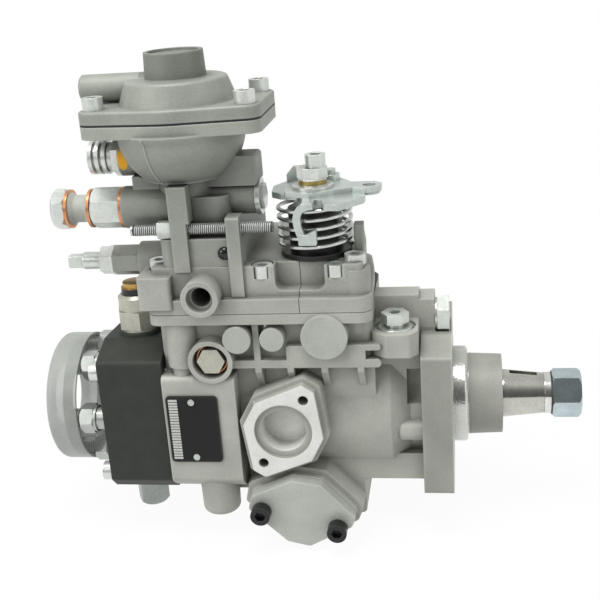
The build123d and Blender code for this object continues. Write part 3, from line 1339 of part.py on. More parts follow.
def lever_shaft():
    x, y = LEVER_X, LEVER_Y
    shaft = rod_z(66, lever_stack_z() + 10 - SEAT_FIT, LEVER_SHAFT_R, x, y)
    shaft += block(x - 12, x, y - 2, y + 12, 66, 69)
    return shaft + rod_z(56, 67, 2, x - 9.5, y + 8)


def lever_cup():
    x, y = LEVER_X, LEVER_Y
    top = LEVER_PLATE_Z - CUP_GAP
    cup = rod_z(COVER_DECK, COVER_DECK + CUP_LIP, CUP_R + CUP_LIP, x, y) + rod_z(COVER_DECK, top, CUP_R - 2, x, y)
    return cup - rod_z(COVER_DECK - 1, top + 1, LEVER_SHAFT_R + MOVE_GAP, x, y)


def lever_hook():
    # A strip that comes down in a bow from the plate and ends in a foot before the stop screw.
    top = LEVER_PLATE_Z + LEVER_PLATE_THICK
    outer = Spline((-1.5, top), (-6.5, top - 4), (-6.8, top - 12), (-4.5, top - 18.5))
    inner = Spline((-1.2, top - 17.5), (-3.4, top - 11), (-3.2, top - 5.5), (1.5, top - 3))
    edges = [outer, Line((-4.5, top - 18.5), (-1.2, top - 17.5)), inner, Line((1.5, top - 3), (-1.5, top))]
    hook = plate_y(Pos(LEVER_X, 0) * make_face(Wire(edges)), LEVER_Y - 23.5, LEVER_Y - 20.5)
    hook += block(LEVER_X - 3, LEVER_X + 2.5, LEVER_Y - 23.5, LEVER_Y - 12, top - LEVER_PLATE_THICK, top)
    foot = [(-5.2, top - 20), (3.5, top - 20), (3.5, top - 12.5), (-1.5, top - 15), (-5.2, top - 14.5)]
    return hook + plate_y(Pos(LEVER_X, 0) * rounded(foot, 0.6), LEVER_Y - 24, LEVER_Y - 20.5)


def control_lever():
    x, y = LEVER_X, LEVER_Y
    low = LEVER_PLATE_Z
    top = low + LEVER_PLATE_THICK
    outline = rounded([(-22, 15), (-21, 3), (-16, -1.5), (-7, -4), (-4, -13), (6, -17), (8, -26), (15, -27),
                       (25.5, -14), (26, -9), (20, 9), (8, 16), (6, 27), (-16, 27)], 1.2)
    plate = plate_z(Pos(x, y) * outline, low, top)
    plate += rod_z(low - 3, low, 10, x, y)
    plate += lever_hook()
    # Upper arm with the eye, on a spacer.
    arm = rounded([(-13, -9), (0, -14), (11, -8), (19, -4.5), (26, -6.5), (33, -3), (33, 4), (29, 8), (18, 8),
                   (10, 20), (-8, 20), (-14, 8)], 1.5)
    plate += plate_z(Pos(x, y) * arm, top, top + UPPER_PLATE_THICK)
    plate += rod_z(top - 1.5, top + UPPER_PLATE_THICK, 5.2, x + EYE_X, y + EYE_Y)
    # Rear lip, and the bush and screw beside it.
    lip = rounded([(-15.5, top - 1), (-5, top - 1), (-5, top + 9), (-12, top + 9), (-15.5, top + 5)], 1)
    plate += plate_y(Pos(x, 0) * lip, y + 17.5, y + 20)
    plate += rod_z(top, top + 5.5, 4.6, x + 7, y + 14) + rod_z(top, top + 8, 2.6, x + 7, y + 14)
    plate -= rod_z(low - 4, top + 3, LEVER_SHAFT_R + SEAT_FIT, x, y)
    return plate - rod_z(low - 4, top + 4, EYE_R, x + EYE_X, y + EYE_Y)


def lever_stack_z():
    return LEVER_PLATE_Z + LEVER_PLATE_THICK + UPPER_PLATE_THICK


def lever_nuts():
    x, y = LEVER_X, LEVER_Y
    top = lever_stack_z()
    stack = rod_z(top, top + 1.5, 10, x, y) + rod_z(top + 1.5, top + 4.5, 7, x, y)
    stack += hex_z(top + 4.5, top + 10, 13, x, y)
    stack -= rod_z(top - 1, top + 11, LEVER_SHAFT_R + SEAT_FIT, x, y)
    screw = Pos(x + 1.8, y, top + 10) * Cylinder(5, 6, align=(Align.CENTER, Align.CENTER, Align.MIN))
    screw -= hex_z(top + 13, top + 17, 5, x + 1.8, y)
    return Compound(children=[stack, screw])


def lever_spring():
    x, y = LEVER_X, LEVER_Y
    start = COVER_DECK + CUP_LIP + 0.2
    length = LEVER_PLATE_Z - 0.3 - start
    return Pos(x, y, start) * coil(LEVER_SPRING_R, LEVER_SPRING_WIRE, length, LEVER_SPRING_TURNS)


PARTS = [
    pump_housing, front_bearing_bush, shaft_seal, feed_pump_ring, feed_pump_plate, feed_pump_rotor,
    feed_pump_vanes, drive_shaft, nut_and_washer, drive_gear, governor_cage, flyweights, governor_shaft,
    governor_sleeve, governor_lever, governor_spring, coupling_disc, cam_plate, roller_ring, cam_rollers,
    timing_piston, timing_spring, timing_cover, timing_cover_rear, housing_screws, plunger, spring_bridge,
    plunger_springs, control_sleeve, distributor_head, distributor_barrel, head_plug, delivery_holders,
    delivery_valves, shipping_cap, solenoid_body, solenoid_insulator, solenoid_pin, hex_bolts, name_plate,
    side_plug, regulating_valve, governor_cover, cover_screws, adjusting_screws, lock_nuts, overflow_fitting,
    overflow_sleeve, copper_washers, boost_housing, boost_cover, boost_diaphragm, boost_pin, boost_spring,
    boost_union, lever_shaft, lever_cup, control_lever, lever_nuts, lever_spring,
]


def main():
    os.makedirs("parts", exist_ok=True)
    for make in PARTS:
        export_step(make(), "parts/" + make.__name__ + ".step")
    print(len(PARTS), "parts")


main()
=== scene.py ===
# %% [markdown]
# A diesel injection pump, dressed for one picture. The frame holds every solid at its real size and place.
# This file adds the camera, soft light, the finishes, and the small things that a picture needs: threads,
# mould seams, a web, a few fastenings and copies of two springs. No solid of the frame is moved.

# %% Load the frame
import json
import math
import bmesh
import bpy
from mathutils import Matrix, Vector


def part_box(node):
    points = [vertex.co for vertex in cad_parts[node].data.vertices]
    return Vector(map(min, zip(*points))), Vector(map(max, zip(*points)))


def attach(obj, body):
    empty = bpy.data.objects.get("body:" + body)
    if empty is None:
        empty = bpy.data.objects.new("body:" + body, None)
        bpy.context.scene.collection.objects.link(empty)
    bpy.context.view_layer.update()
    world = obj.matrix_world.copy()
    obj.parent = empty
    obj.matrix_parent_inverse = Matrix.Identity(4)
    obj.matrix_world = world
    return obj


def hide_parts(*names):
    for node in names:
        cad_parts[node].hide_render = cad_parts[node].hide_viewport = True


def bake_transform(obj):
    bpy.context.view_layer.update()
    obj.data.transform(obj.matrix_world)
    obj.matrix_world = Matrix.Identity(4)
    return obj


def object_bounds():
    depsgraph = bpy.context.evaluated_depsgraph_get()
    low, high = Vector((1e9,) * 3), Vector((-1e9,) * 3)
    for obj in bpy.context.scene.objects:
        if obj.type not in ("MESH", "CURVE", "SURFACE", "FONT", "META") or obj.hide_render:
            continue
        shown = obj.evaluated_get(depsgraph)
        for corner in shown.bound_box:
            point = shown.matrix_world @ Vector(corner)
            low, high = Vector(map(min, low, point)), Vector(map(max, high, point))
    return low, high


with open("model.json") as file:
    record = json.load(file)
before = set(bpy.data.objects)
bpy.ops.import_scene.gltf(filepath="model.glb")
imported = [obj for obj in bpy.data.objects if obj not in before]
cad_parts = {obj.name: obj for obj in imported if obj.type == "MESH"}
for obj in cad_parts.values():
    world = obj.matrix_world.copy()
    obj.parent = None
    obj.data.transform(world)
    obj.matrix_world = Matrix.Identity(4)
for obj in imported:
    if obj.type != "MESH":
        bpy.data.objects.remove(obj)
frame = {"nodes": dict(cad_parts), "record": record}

MM = 0.001
cad_box = [list(corner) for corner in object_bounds()]

# %% [markdown]
# The camera stands a little to the right of square and some way above, and the pump leans four degrees in
# the picture. Its place could be a matrix of numbers. Two angles, a lean, a lens, a distance and a target
# say the same and can be read, so the script works the place out from them. The Standard view shows each
# colour as it is written, with no film curve.

# %% Camera
AZIMUTH = math.radians(9.52)
ELEVATION = math.radians(19.33)
LEAN = math.radians(4.20)
LENS = 62.5
SENSOR = 36.0
DISTANCE = 0.55
TARGET = Vector((-79.1, 5.1, 51.7)) * MM


def add_camera():
    away = Vector((math.sin(AZIMUTH) * math.cos(ELEVATION),
                   -math.cos(AZIMUTH) * math.cos(ELEVATION),
                   math.sin(ELEVATION)))
    camera = bpy.data.objects.new("camera", bpy.data.cameras.new("camera"))
    camera.data.lens = LENS
    camera.data.sensor_width = SENSOR
    turn = away.to_track_quat("Z", "Y").to_matrix().to_4x4()
    lean = Matrix.Rotation(LEAN, 4, "Z").inverted()
    camera.matrix_world = Matrix.Translation(TARGET + away * DISTANCE) @ turn @ lean
    bpy.context.scene.collection.objects.link(camera)
    bpy.context.scene.camera = camera
    print("camera", [round(v, 4) for v in camera.location])


add_camera()
bpy.context.scene.view_settings.view_transform = "Standard"

# %% [markdown]
# The world, the finishes and the Geometry Nodes trees are all wired nodes. Wiring by hand takes three lines
# a node, so small helpers do it. Each value given to a helper is a number, a colour or the output of
# another node, and what comes back is the new node or its output.

# %% Helpers for nodes


def set_or_link(tree, socket, value):
    if isinstance(value, bpy.types.NodeSocket):
        tree.links.new(value, socket)
    else:
        socket.default_value = value


def add_node(tree, kind, **values):
    """A node with its inputs set by name. An underscore in a name stands for a space."""
    node = tree.nodes.new(kind)
    for label, value in values.items():
        set_or_link(tree, node.inputs[label.replace("_", " ")], value)
    return node


def add_math(tree, operation, *values):
    node = tree.nodes.new("ShaderNodeMath")
    node.operation = operation
    for socket, value in zip(node.inputs, values):
        set_or_link(tree, socket, value)
    return node.outputs[0]


def add_vector(tree, operation, *values):
    node = tree.nodes.new("ShaderNodeVectorMath")
    node.operation = operation
    for socket, value in zip(node.inputs, values):
        set_or_link(tree, socket, value)
    single = operation in ("DOT_PRODUCT", "DISTANCE", "LENGTH")
    return node.outputs["Value"] if single else node.outputs["Vector"]


def add_range(tree, value, start=(0.0, 1.0), result=(0.0, 1.0), smooth=False):
    """Turns the span start into the span result."""
    node = add_node(tree, "ShaderNodeMapRange", Value=value, From_Min=start[0], From_Max=start[1],
                    To_Min=result[0], To_Max=result[1])
    if smooth:
        node.interpolation_type = "SMOOTHSTEP"
    return node.outputs["Result"]


def add_split(tree, vector):
    node = tree.nodes.new("ShaderNodeSeparateXYZ")
    tree.links.new(vector, node.inputs[0])
    return node.outputs


def add_place(tree):
    return tree.nodes.new("ShaderNodeTexCoord").outputs["Object"]


def mix_shaders(tree, factor, first, second):
    node = tree.nodes.new("ShaderNodeMixShader")
    for socket, value in zip(node.inputs, (factor, first, second)):
        tree.links.new(value, socket)
    return node.outputs[0]


print("helpers ready: node, math, vector, range, split, place, mix")

# %% [markdown]
# The pump stands in a white room. Bright metal shows the room around it, and one even white would leave
# turned steel without its streaks. So the camera sees plain white, the light on the pump is even, and
# reflections see a room that gets lighter upwards and is dim on the camera's side.

# %% World
WHITE = (1.0, 1.0, 1.0, 1.0)
ROOM_LIGHT = 0.44
MIRROR_LOW = 0.096
MIRROR_HIGH = 0.8
MIRROR_RISE = (-0.35, 0.30)
CAMERA_SIDE = 0.20
CAMERA_TURN = (-0.95, -0.30)


def add_background(tree, strength):
    return add_node(tree, "ShaderNodeBackground", Color=WHITE, Strength=strength).outputs[0]


def add_world():
    world = bpy.data.worlds.new("studio")
    bpy.context.scene.world = world
    world.use_nodes = True
    world.cycles.sampling_method = "NONE"
    tree = world.node_tree
    tree.nodes.clear()
    path = tree.nodes.new("ShaderNodeLightPath").outputs
    aim = add_split(tree, tree.nodes.new("ShaderNodeTexCoord").outputs["Generated"])
    rise = add_range(tree, aim["Z"], MIRROR_RISE, (MIRROR_LOW, MIRROR_HIGH), smooth=True)
    side = add_range(tree, aim["Y"], CAMERA_TURN, (CAMERA_SIDE, 1.0), smooth=True)
    mirror = add_background(tree, add_math(tree, "MULTIPLY", rise, side))
    lit = mix_shaders(tree, path["Is Glossy Ray"], add_background(tree, ROOM_LIGHT), mirror)
    seen = add_math(tree, "MAXIMUM", path["Is Camera Ray"], path["Is Transmission Ray"])
    shown = mix_shaders(tree, seen, lit, add_background(tree, 1.0))
    tree.links.new(shown, tree.nodes.new("ShaderNodeOutputWorld").inputs["Surface"])


add_world()
print("world: light", ROOM_LIGHT, "mirror", MIRROR_LOW, "to", MIRROR_HIGH)

# %% [markdown]
# Three round soft boxes shape the pump: a strong one above, one from the left for the rear fittings, and a
# weak one from the right for the shaft. Disc lamps give soft shadows and round highlights. A sun would
# give hard ones.

# %% Lamps
LAMPS = {
    # name: place in metres, width in metres, power in watts
    "lamp_top": ((-0.20, -0.30, 1.10), 0.6, 8.4),
    "lamp_left": ((-0.95, -0.80, 0.60), 0.7, 4.4),
    "lamp_right": ((0.90, -0.50, 0.45), 0.5, 1.3),
}


def add_lamp(name, place, size, power):
    lamp = bpy.data.objects.new(name, bpy.data.lights.new(name, "AREA"))
    lamp.data.shape = "DISK"
    lamp.data.size = size
    lamp.data.energy = power
    lamp.location = Vector(place)
    lamp.rotation_euler = (Vector(place) - TARGET).to_track_quat("Z", "Y").to_euler()
    bpy.context.scene.collection.objects.link(lamp)


for lamp_name, lamp_values in LAMPS.items():
    add_lamp(lamp_name, *lamp_values)
print("lamps:", ", ".join(LAMPS))

# %% [markdown]
# Under the pump there is hardly a shadow. The floor is a white disc that glows almost enough to hide its
# own shadow, and further out it only glows, so it meets the white background without an edge. Its glow is
# weaker in the light that it throws up, which would otherwise wash out the castings' undersides.

# %% Floor
FLOOR_DROP = 0.3 * MM
FLOOR_RADIUS = 4.0
FLOOR_SIDES = 96
FLOOR_WHITE = (0.94, 0.94, 0.94, 1.0)
FLOOR_ROUGH = 0.9
FLOOR_SHADE = 0.06
FLOOR_GLOW = 0.62
SHADE_REACH = (0.05, 0.30)


def make_floor_finish(middle):
    finish = bpy.data.materials.new("floor_white")
    finish.use_nodes = True
    tree = finish.node_tree
    shader = tree.nodes["Principled BSDF"]
    shader.inputs["Base Color"].default_value = FLOOR_WHITE
    shader.inputs["Roughness"].default_value = FLOOR_ROUGH
    path = tree.nodes.new("ShaderNodeLightPath").outputs
    seen = add_math(tree, "MAXIMUM", path["Is Camera Ray"], path["Is Transmission Ray"])
    seen = add_math(tree, "MAXIMUM", seen, path["Is Glossy Ray"])
    glow = add_node(tree, "ShaderNodeEmission", Color=WHITE,
                    Strength=add_range(tree, seen, result=(FLOOR_GLOW, 1.0)))
    away = add_vector(tree, "DISTANCE", add_place(tree), middle)
    far = add_range(tree, away, SHADE_REACH, (1.0 - FLOOR_SHADE, 1.0), smooth=True)
    shown = mix_shaders(tree, far, shader.outputs[0], glow.outputs[0])
    tree.links.new(shown, tree.nodes["Material Output"].inputs["Surface"])
    return finish


def add_floor():
    middle = (TARGET.x, TARGET.y, cad_box[0][2] - FLOOR_DROP)
    mesh = bpy.data.meshes.new("floor")
    build = bmesh.new()
    bmesh.ops.create_circle(build, cap_ends=True, segments=FLOOR_SIDES, radius=FLOOR_RADIUS,
                            matrix=Matrix.Translation(middle))
    build.to_mesh(mesh)
    build.free()
    mesh.materials.append(make_floor_finish(middle))
    floor = bpy.data.objects.new("floor", mesh)
    bpy.context.scene.collection.objects.link(floor)
    print("floor at", round(middle[2] / MM, 1), "mm")


add_floor()

# %% [markdown]
# Several finishes need the same effects, so each effect is a shader node group made once, with named inputs
# and outputs. A group gives out only colours, masks and values, and the finish itself holds the shader.

# %% Helpers for groups


def new_group(name, inputs, outputs):
    """An empty group. inputs are (label, socket kind, value) and outputs are (label, socket kind)."""
    group = bpy.data.node_groups.new(name, "ShaderNodeTree")
    for label, kind, value in inputs:
        socket = group.interface.new_socket(label, in_out="INPUT", socket_type=kind)
        socket.default_value = value
    for label, kind in outputs:
        group.interface.new_socket(label, in_out="OUTPUT", socket_type=kind)
    return group, group.nodes.new("NodeGroupInput").outputs, group.nodes.new("NodeGroupOutput").inputs


def add_noise(tree, vector, scale, detail):
    return add_node(tree, "ShaderNodeTexNoise", Vector=vector, Scale=scale, Detail=detail).outputs["Fac"]


def add_group(tree, group, **values):
    node = tree.nodes.new("ShaderNodeGroup")
    node.node_tree = group
    for label, value in values.items():
        set_or_link(tree, node.inputs[label.replace("_", " ")], value)
    return node.outputs


print("helpers ready: group, noise")

# %% [markdown]
# The castings are blasted with grit, which leaves a grain of about a millimetre and faint clouds a
# centimetre or two wide. Two noises at those scales make it, and the fine one also gives a bump its height.

# %% Grain group
FINE_DETAIL = 2.0
FINE_SHARE = 0.35
CLOUD_DETAIL = 4.0
CLOUD_SHARE = 0.65


def make_grain_group():
    group, enter, leave = new_group(
        "blasted_grain",
        [("Grain Scale", "NodeSocketFloat", 2600.0), ("Cloud Scale", "NodeSocketFloat", 45.0)],
        [("Tone", "NodeSocketFloat"), ("Height", "NodeSocketFloat")])
    place = add_place(group)
    fine = add_noise(group, place, enter["Grain Scale"], FINE_DETAIL)
    cloud = add_noise(group, place, enter["Cloud Scale"], CLOUD_DETAIL)
    fine_part = add_math(group, "MULTIPLY", fine, FINE_SHARE)
    tone = add_math(group, "MULTIPLY_ADD", cloud, CLOUD_SHARE, fine_part)
    group.links.new(tone, leave["Tone"])
    group.links.new(fine, leave["Height"])
    return group


GRAIN = make_grain_group()
print("group:", GRAIN.name)

# %% [markdown]
# One casting carries raw skin, milled faces and turned rings on one mesh. Painting them on by face would
# change the frame's meshes, so a mask finds them instead: what lies inside a box and, where asked, faces
# one way.

# %% Zone group


def make_zone_group():
    group, enter, leave = new_group(
        "zone",
        [("Low", "NodeSocketVector", (-1, -1, -1)), ("High", "NodeSocketVector", (1, 1, 1)),
         ("Facing", "NodeSocketVector", (0, 0, 0)), ("Facing Limit", "NodeSocketFloat", -1.0)],
        [("Mask", "NodeSocketFloat")])
    place = add_place(group)
    normal = group.nodes.new("ShaderNodeNewGeometry").outputs["True Normal"]
    facing = add_vector(group, "DOT_PRODUCT", normal, enter["Facing"])
    mask = add_math(group, "GREATER_THAN", facing, enter["Facing Limit"])
    for first, second in ((place, enter["Low"]), (enter["High"], place)):
        for past in add_split(group, add_vector(group, "SUBTRACT", first, second)):
            mask = add_math(group, "MULTIPLY", mask, add_math(group, "GREATER_THAN", past, 0.0))
    group.links.new(mask, leave["Mask"])
    return group


ZONE = make_zone_group()
print("group:", ZONE.name)

# %% [markdown]
# A dab of paint is no box. Its mask is an oval whose edge a little noise makes ragged, as a quick brush
# leaves it.

# %% Spot group
RAGGED_SCALE = 400.0
RAGGED_DETAIL = 2.0
SPOT_EDGE = 1.1


def make_spot_group():
    group, enter, leave = new_group(
        "spot",
        [("Centre", "NodeSocketVector", (0, 0, 0)), ("Radii", "NodeSocketVector", (1, 1, 1)),
         ("Ragged", "NodeSocketFloat", 0.25)],
        [("Mask", "NodeSocketFloat")])
    place = add_place(group)
    away = add_vector(group, "SUBTRACT", place, enter["Centre"])
    away = add_vector(group, "LENGTH", add_vector(group, "DIVIDE", away, enter["Radii"]))
    wave = add_noise(group, place, RAGGED_SCALE, RAGGED_DETAIL)
    edge = add_math(group, "ADD", away, add_math(group, "MULTIPLY", wave, enter["Ragged"]))
    group.links.new(add_math(group, "LESS_THAN", edge, SPOT_EDGE), leave["Mask"])
    return group


SPOT = make_spot_group()
print("group:", SPOT.name)

# %% [markdown]
# Handling brightens a corner, and a hollow is darkened with painted shade and some grime. Ambient occlusion
# finds both: traced inside the metal it is strong at a corner, and traced outside it is strong in a hollow.

# %% Edge group
EDGE_SAMPLES = 6


def make_edge_group():
    group, enter, leave = new_group(
        "edges",
        [("Corner Reach", "NodeSocketFloat", 1.2 * MM), ("Hollow Reach", "NodeSocketFloat", 6.0 * MM)],
        [("Corner", "NodeSocketFloat"), ("Hollow", "NodeSocketFloat")])
    for label, inside in (("Corner", True), ("Hollow", False)):
        node = add_node(group, "ShaderNodeAmbientOcclusion", Distance=enter[label + " Reach"])
        node.samples = EDGE_SAMPLES
        node.inside = inside
        group.links.new(add_math(group, "SUBTRACT", 1.0, node.outputs["AO"]), leave[label])
    return group


EDGES = make_edge_group()
print("group:", EDGES.name)

# %% [markdown]
# Every finish starts from a look: a colour, how metallic it is and how rough. Colours are written as they
# appear on a screen, 0 to 255, and are turned to linear light. A finish could be drawn by hand in the node
# editor, but nearly thirty that share one build are easier to keep alike when a function wires them.

# %% Helpers for finishes
BEVEL_SAMPLES = 6
FACING_LIMIT = 0.95


def linear(red, green, blue):
    """A screen colour as linear light, by the sRGB curve."""
    def one(value):
        value /= 255.0
        return value / 12.92 if value <= 0.04045 else ((value + 0.055) / 1.055) ** 2.4
    return (one(red), one(green), one(blue), 1.0)


def add_mix(tree, factor, first, second, kind="RGBA", blend="MIX"):
    node = tree.nodes.new("ShaderNodeMix")
    node.data_type = kind
    node.blend_type = blend
    sockets = [s for s in node.inputs if s.enabled]
    for socket, value in zip(sockets, (factor, first, second)):
        set_or_link(tree, socket, value)
    return [s for s in node.outputs if s.enabled][0]


# The fades in this script paint shade or light onto a casting by height.
def add_fade(tree, colour, low, high, other):
    """Turns the colour to another one between two heights in millimetres."""
    height = add_split(tree, add_place(tree))["Z"]
    rise = add_range(tree, height, (low * MM, high * MM), smooth=True)
    return add_mix(tree, rise, colour, other)


def add_bump(tree, height, depth, edge, shader):
    """The grain's relief on a normal that is rounded at sharp edges."""
    bump = add_node(tree, "ShaderNodeBump", Distance=depth, Height=height)
    if edge:
        bevel = add_node(tree, "ShaderNodeBevel", Radius=edge)
        bevel.samples = BEVEL_SAMPLES
        tree.links.new(bevel.outputs["Normal"], bump.inputs["Normal"])
    tree.links.new(bump.outputs["Normal"], shader.inputs["Normal"])


def zone(low, high, look, facing=None):
    """A box in millimetres, the look of what lies in it and, if it matters, the way that it has to face."""
    box = {"Low": Vector(low) * MM, "High": Vector(high) * MM}
    if facing:
        box.update(Facing=facing, Facing_Limit=FACING_LIMIT)
    return box, look


print("helpers ready: linear, mix, fade, bump, zone")

# %% [markdown]
# The build of a finish goes from the plain look outwards. Zones and dabs of paint are laid over it, the
# grain makes tone and roughness wander, painted shade with some grime darkens the hollows, and wear
# brightens the corners. Painted images would do that too, but nodes stay sharp at any distance and need no
# unwrapped mesh.

# %% Build of a finish
TONE_SPAN = (0.30, 0.70)
TONE_SHADES = (0.80, 1.12)
ROUGH_SPREAD = 0.06
# The dark that hollows take is painted shade with some grime in it.
GRIME_AND_SHADE = (0.02, 0.02, 0.018, 1.0)
RUBBED = (0.85, 0.85, 0.83, 1.0)


# Hollows darken with painted shade and some grime, and corners brighten with wear.
def add_wear(tree, base, worn, grime_and_shade, corner, hollow):
    edges = add_group(tree, EDGES, Corner_Reach=corner, Hollow_Reach=hollow)
    base = add_mix(tree, add_math(tree, "MULTIPLY", edges["Hollow"], grime_and_shade), base, GRIME_AND_SHADE)
    return add_mix(tree, add_math(tree, "MULTIPLY", edges["Corner"], worn), base, RUBBED)


def make_finish(name, look, zones=(), spots=(), fade=None, grain=1000.0, cloud=55.0, depth=0.09 * MM,
                edge=0.9 * MM, worn=0.25, grime_and_shade=0.55, corner=1.2 * MM, hollow=7.0 * MM, shine=0.5):
    finish = bpy.data.materials.new(name)
    finish.use_nodes = True
    tree = finish.node_tree
    shader = tree.nodes["Principled BSDF"]
    colour, metallic, roughness = look
    if fade:
        colour = add_fade(tree, colour, *fade)
    for box, other in zones:
        mask = add_group(tree, ZONE, **box)["Mask"]
        colour = add_mix(tree, mask, colour, other[0])
        metallic = add_mix(tree, mask, metallic, other[1], "FLOAT")
        roughness = add_mix(tree, mask, roughness, other[2], "FLOAT")
    for centre, radii, paint in spots:
        mask = add_group(tree, SPOT, Centre=Vector(centre) * MM, Radii=Vector(radii) * MM)["Mask"]
        colour = add_mix(tree, mask, colour, paint)
    blasted = add_group(tree, GRAIN, Grain_Scale=grain, Cloud_Scale=cloud)
    tone = add_range(tree, blasted["Tone"], TONE_SPAN, TONE_SHADES)
    base = add_mix(tree, 1.0, colour, tone, blend="MULTIPLY")
    if worn or grime_and_shade:
        base = add_wear(tree, base, worn, grime_and_shade, corner, hollow)
    tree.links.new(base, shader.inputs["Base Color"])
    set_or_link(tree, shader.inputs["Metallic"], metallic)
    shader.inputs["Specular IOR Level"].default_value = shine
    wander = add_range(tree, blasted["Tone"], result=(-ROUGH_SPREAD, ROUGH_SPREAD))
    tree.links.new(add_math(tree, "ADD", wander, roughness), shader.inputs["Roughness"])
    add_bump(tree, blasted["Height"], depth, edge, shader)
    return finish


print("finish build ready: fade, zones, dabs, grain, wear, relief")

# %% [markdown]
# The greys of the aluminium castings differ. The timing covers and the housing are the lightest, the boost
# unit is darker and a little greener, and the head is black iron. Painted shade darkens the housing's
# flange and nose, the upper governor cover under the bowl, where it also turns greener, and the boss on the
# boost unit's dome, and painted light brightens the top of the boost housing. Milled faces are nearly
# white, the pilot is turned bright, and a dark line shows where cover and housing meet. Each of these is a
# zone or a fade on the casting's own solid, because a separate skin would lie proud of it.

# %% Castings
FRONT = (0, -1, 0)
SHAFT_SIDE = (1, 0, 0)
MILLED = (linear(236, 237, 232), 0.15, 0.42)
SMOOTH = (linear(186, 189, 181), 0.10, 0.45)
TURNED = (linear(208, 210, 203), 1.0, 0.22)
JOINT_LINE = (linear(70, 72, 66), 0.0, 0.7)
CAP_BOSS_TALL = 12.0
CAP_BOSS_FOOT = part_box("boost_cover")[1][2] / MM - CAP_BOSS_TALL
YELLOW_DAB = ((-155.0, -28.5, 137.2), (2.7, 9.0, 5.6), linear(250, 186, 22))

cover_joint = zone((-150, -60, 62.75), (-30, 60, 63.15), JOINT_LINE)
pocket_line = zone((-71.4, -60, 60), (-71.0, -30, 90), JOINT_LINE)
# The boss on top of the boost cover's dome is darker: painted shade.
cap_boss_shade = zone((-145, -40, CAP_BOSS_FOOT), (-108, -2, 300), (linear(126, 130, 120), 0.12, 0.50))
housing_zones = [
    # flange rim in painted shade, window bore, joint line, window face, boss faces, pilot, nose in painted
    # shade, flange face
    zone((-15.5, -45, -50), (-0.3, 45, 45), (linear(162, 164, 155), 0.12, 0.52)),
    zone((-98, -47.95, -13), (-69, -36, 17), (linear(228, 229, 222), 0.0, 0.5)),
    cover_joint,
    zone((-118, -50.3, -32), (-48, -49.7, 36), MILLED, FRONT),
    zone((-112, -48.5, 38), (-44, -46.5, 64), SMOOTH, FRONT),
    zone((-0.4, -26, -26), (8.0, 26, 26), TURNED),
    zone((8.0, -26, -26), (40, 26, 26), (linear(164, 165, 156), 0.12, 0.52)),
    zone((-0.3, -45, -50), (0.3, 45, 48), MILLED, SHAFT_SIDE),
]

CASTINGS = {
    "cast_grey": {"look": (linear(184, 185, 176), 0.12, 0.52), "zones": housing_zones},
    "timing_grey": {"look": (linear(190, 193, 185), 0.25, 0.42), "edge": 0.5 * MM, "worn": 0.45},
    # The governor cover turns darker and greener from 70 to 100 mm up, under the bowl: painted shade. Its
    # hollows also get strong painted shade.
    "cover_grey": {"look": (linear(182, 183, 175), 0.12, 0.52), "zones": [cover_joint, pocket_line],
                   "fade": (70.0, 100.0, linear(154, 157, 149)), "grime_and_shade": 0.95, "hollow": 10.0 * MM},
    # The boost housing turns lighter from 128 to 148 mm up: painted light on its top. Its hollows get
    # strong painted shade.
    "boost_grey": {"look": (linear(146, 149, 141), 0.12, 0.50), "spots": [YELLOW_DAB],
                   "fade": (128.0, 148.0, linear(164, 168, 158)), "grime_and_shade": 0.9, "hollow": 10.0 * MM},
    "dome_grey": {"look": (linear(155, 158, 149), 0.12, 0.50), "zones": [cap_boss_shade]},
    "black_iron": {"look": (linear(54, 58, 52), 0.0, 0.55), "grain": 1500.0, "cloud": 120.0,
                   "edge": 1.2 * MM, "worn": 0.02, "grime_and_shade": 0.2, "shine": 0.28},
}
FINISHES = {name: make_finish(name, **values) for name, values in CASTINGS.items()}
print("castings:", ", ".join(CASTINGS))

# %% [markdown]
# Most fastenings are zinc plated. The shaft and its washer are bare bright steel with a bluer nut, the side
# plug and the solenoid are a warm nickel, the full-load screw is dull grey, and the timing covers' screws
# are blackened. These parts are smooth, so most share thin values: a grain with hardly any relief, and
# short reaches for wear and for painted shade with grime. Where one node holds two kinds of screw, a zone
# tells them apart. Dark zones paint shade into the stop screw's thread and into the gap between washer and
# nut.

# %% Metals
THIN = {"grain": 700.0, "cloud": 120.0, "depth": 0.004 * MM, "edge": 0.3 * MM, "worn": 0.2, "grime_and_shade": 0.5,
        "corner": 0.6 * MM, "hollow": 2.5 * MM}
ZINC = (linear(222, 226, 221), 0.70, 0.30)
# This dark colour is painted shade, for grooves and gaps.
GROOVE_SHADE = (linear(52, 54, 52), 0.4, 0.5)

full_load = zone((-171.5, -60, 60), (-150, 30, 95), (linear(156, 159, 151), 0.85, 0.42))
# The stop screw's core between the thread's turns is dark with painted shade.
stop_screw_shade = zone((-150.5, -42.2, 101), (-82, -35.8, 107.6), GROOVE_SHADE)
lever_bush = zone((-80, -40, 120.3), (-50, 0, 122.6), (linear(168, 150, 92), 0.8, 0.38))
bleed_screw = zone((-200, -60, -90), (-100, 60, 0), (linear(150, 155, 152), 0.9, 0.34))
washer = zone((40, -15, -15), (50.35, 15, 15), (linear(228, 229, 224), 1.0, 0.12))
# A thin band of painted shade lies between washer and nut.
washer_gap_shade = zone((49.7, -15, -15), (50.6, 15, 15), GROOVE_SHADE)

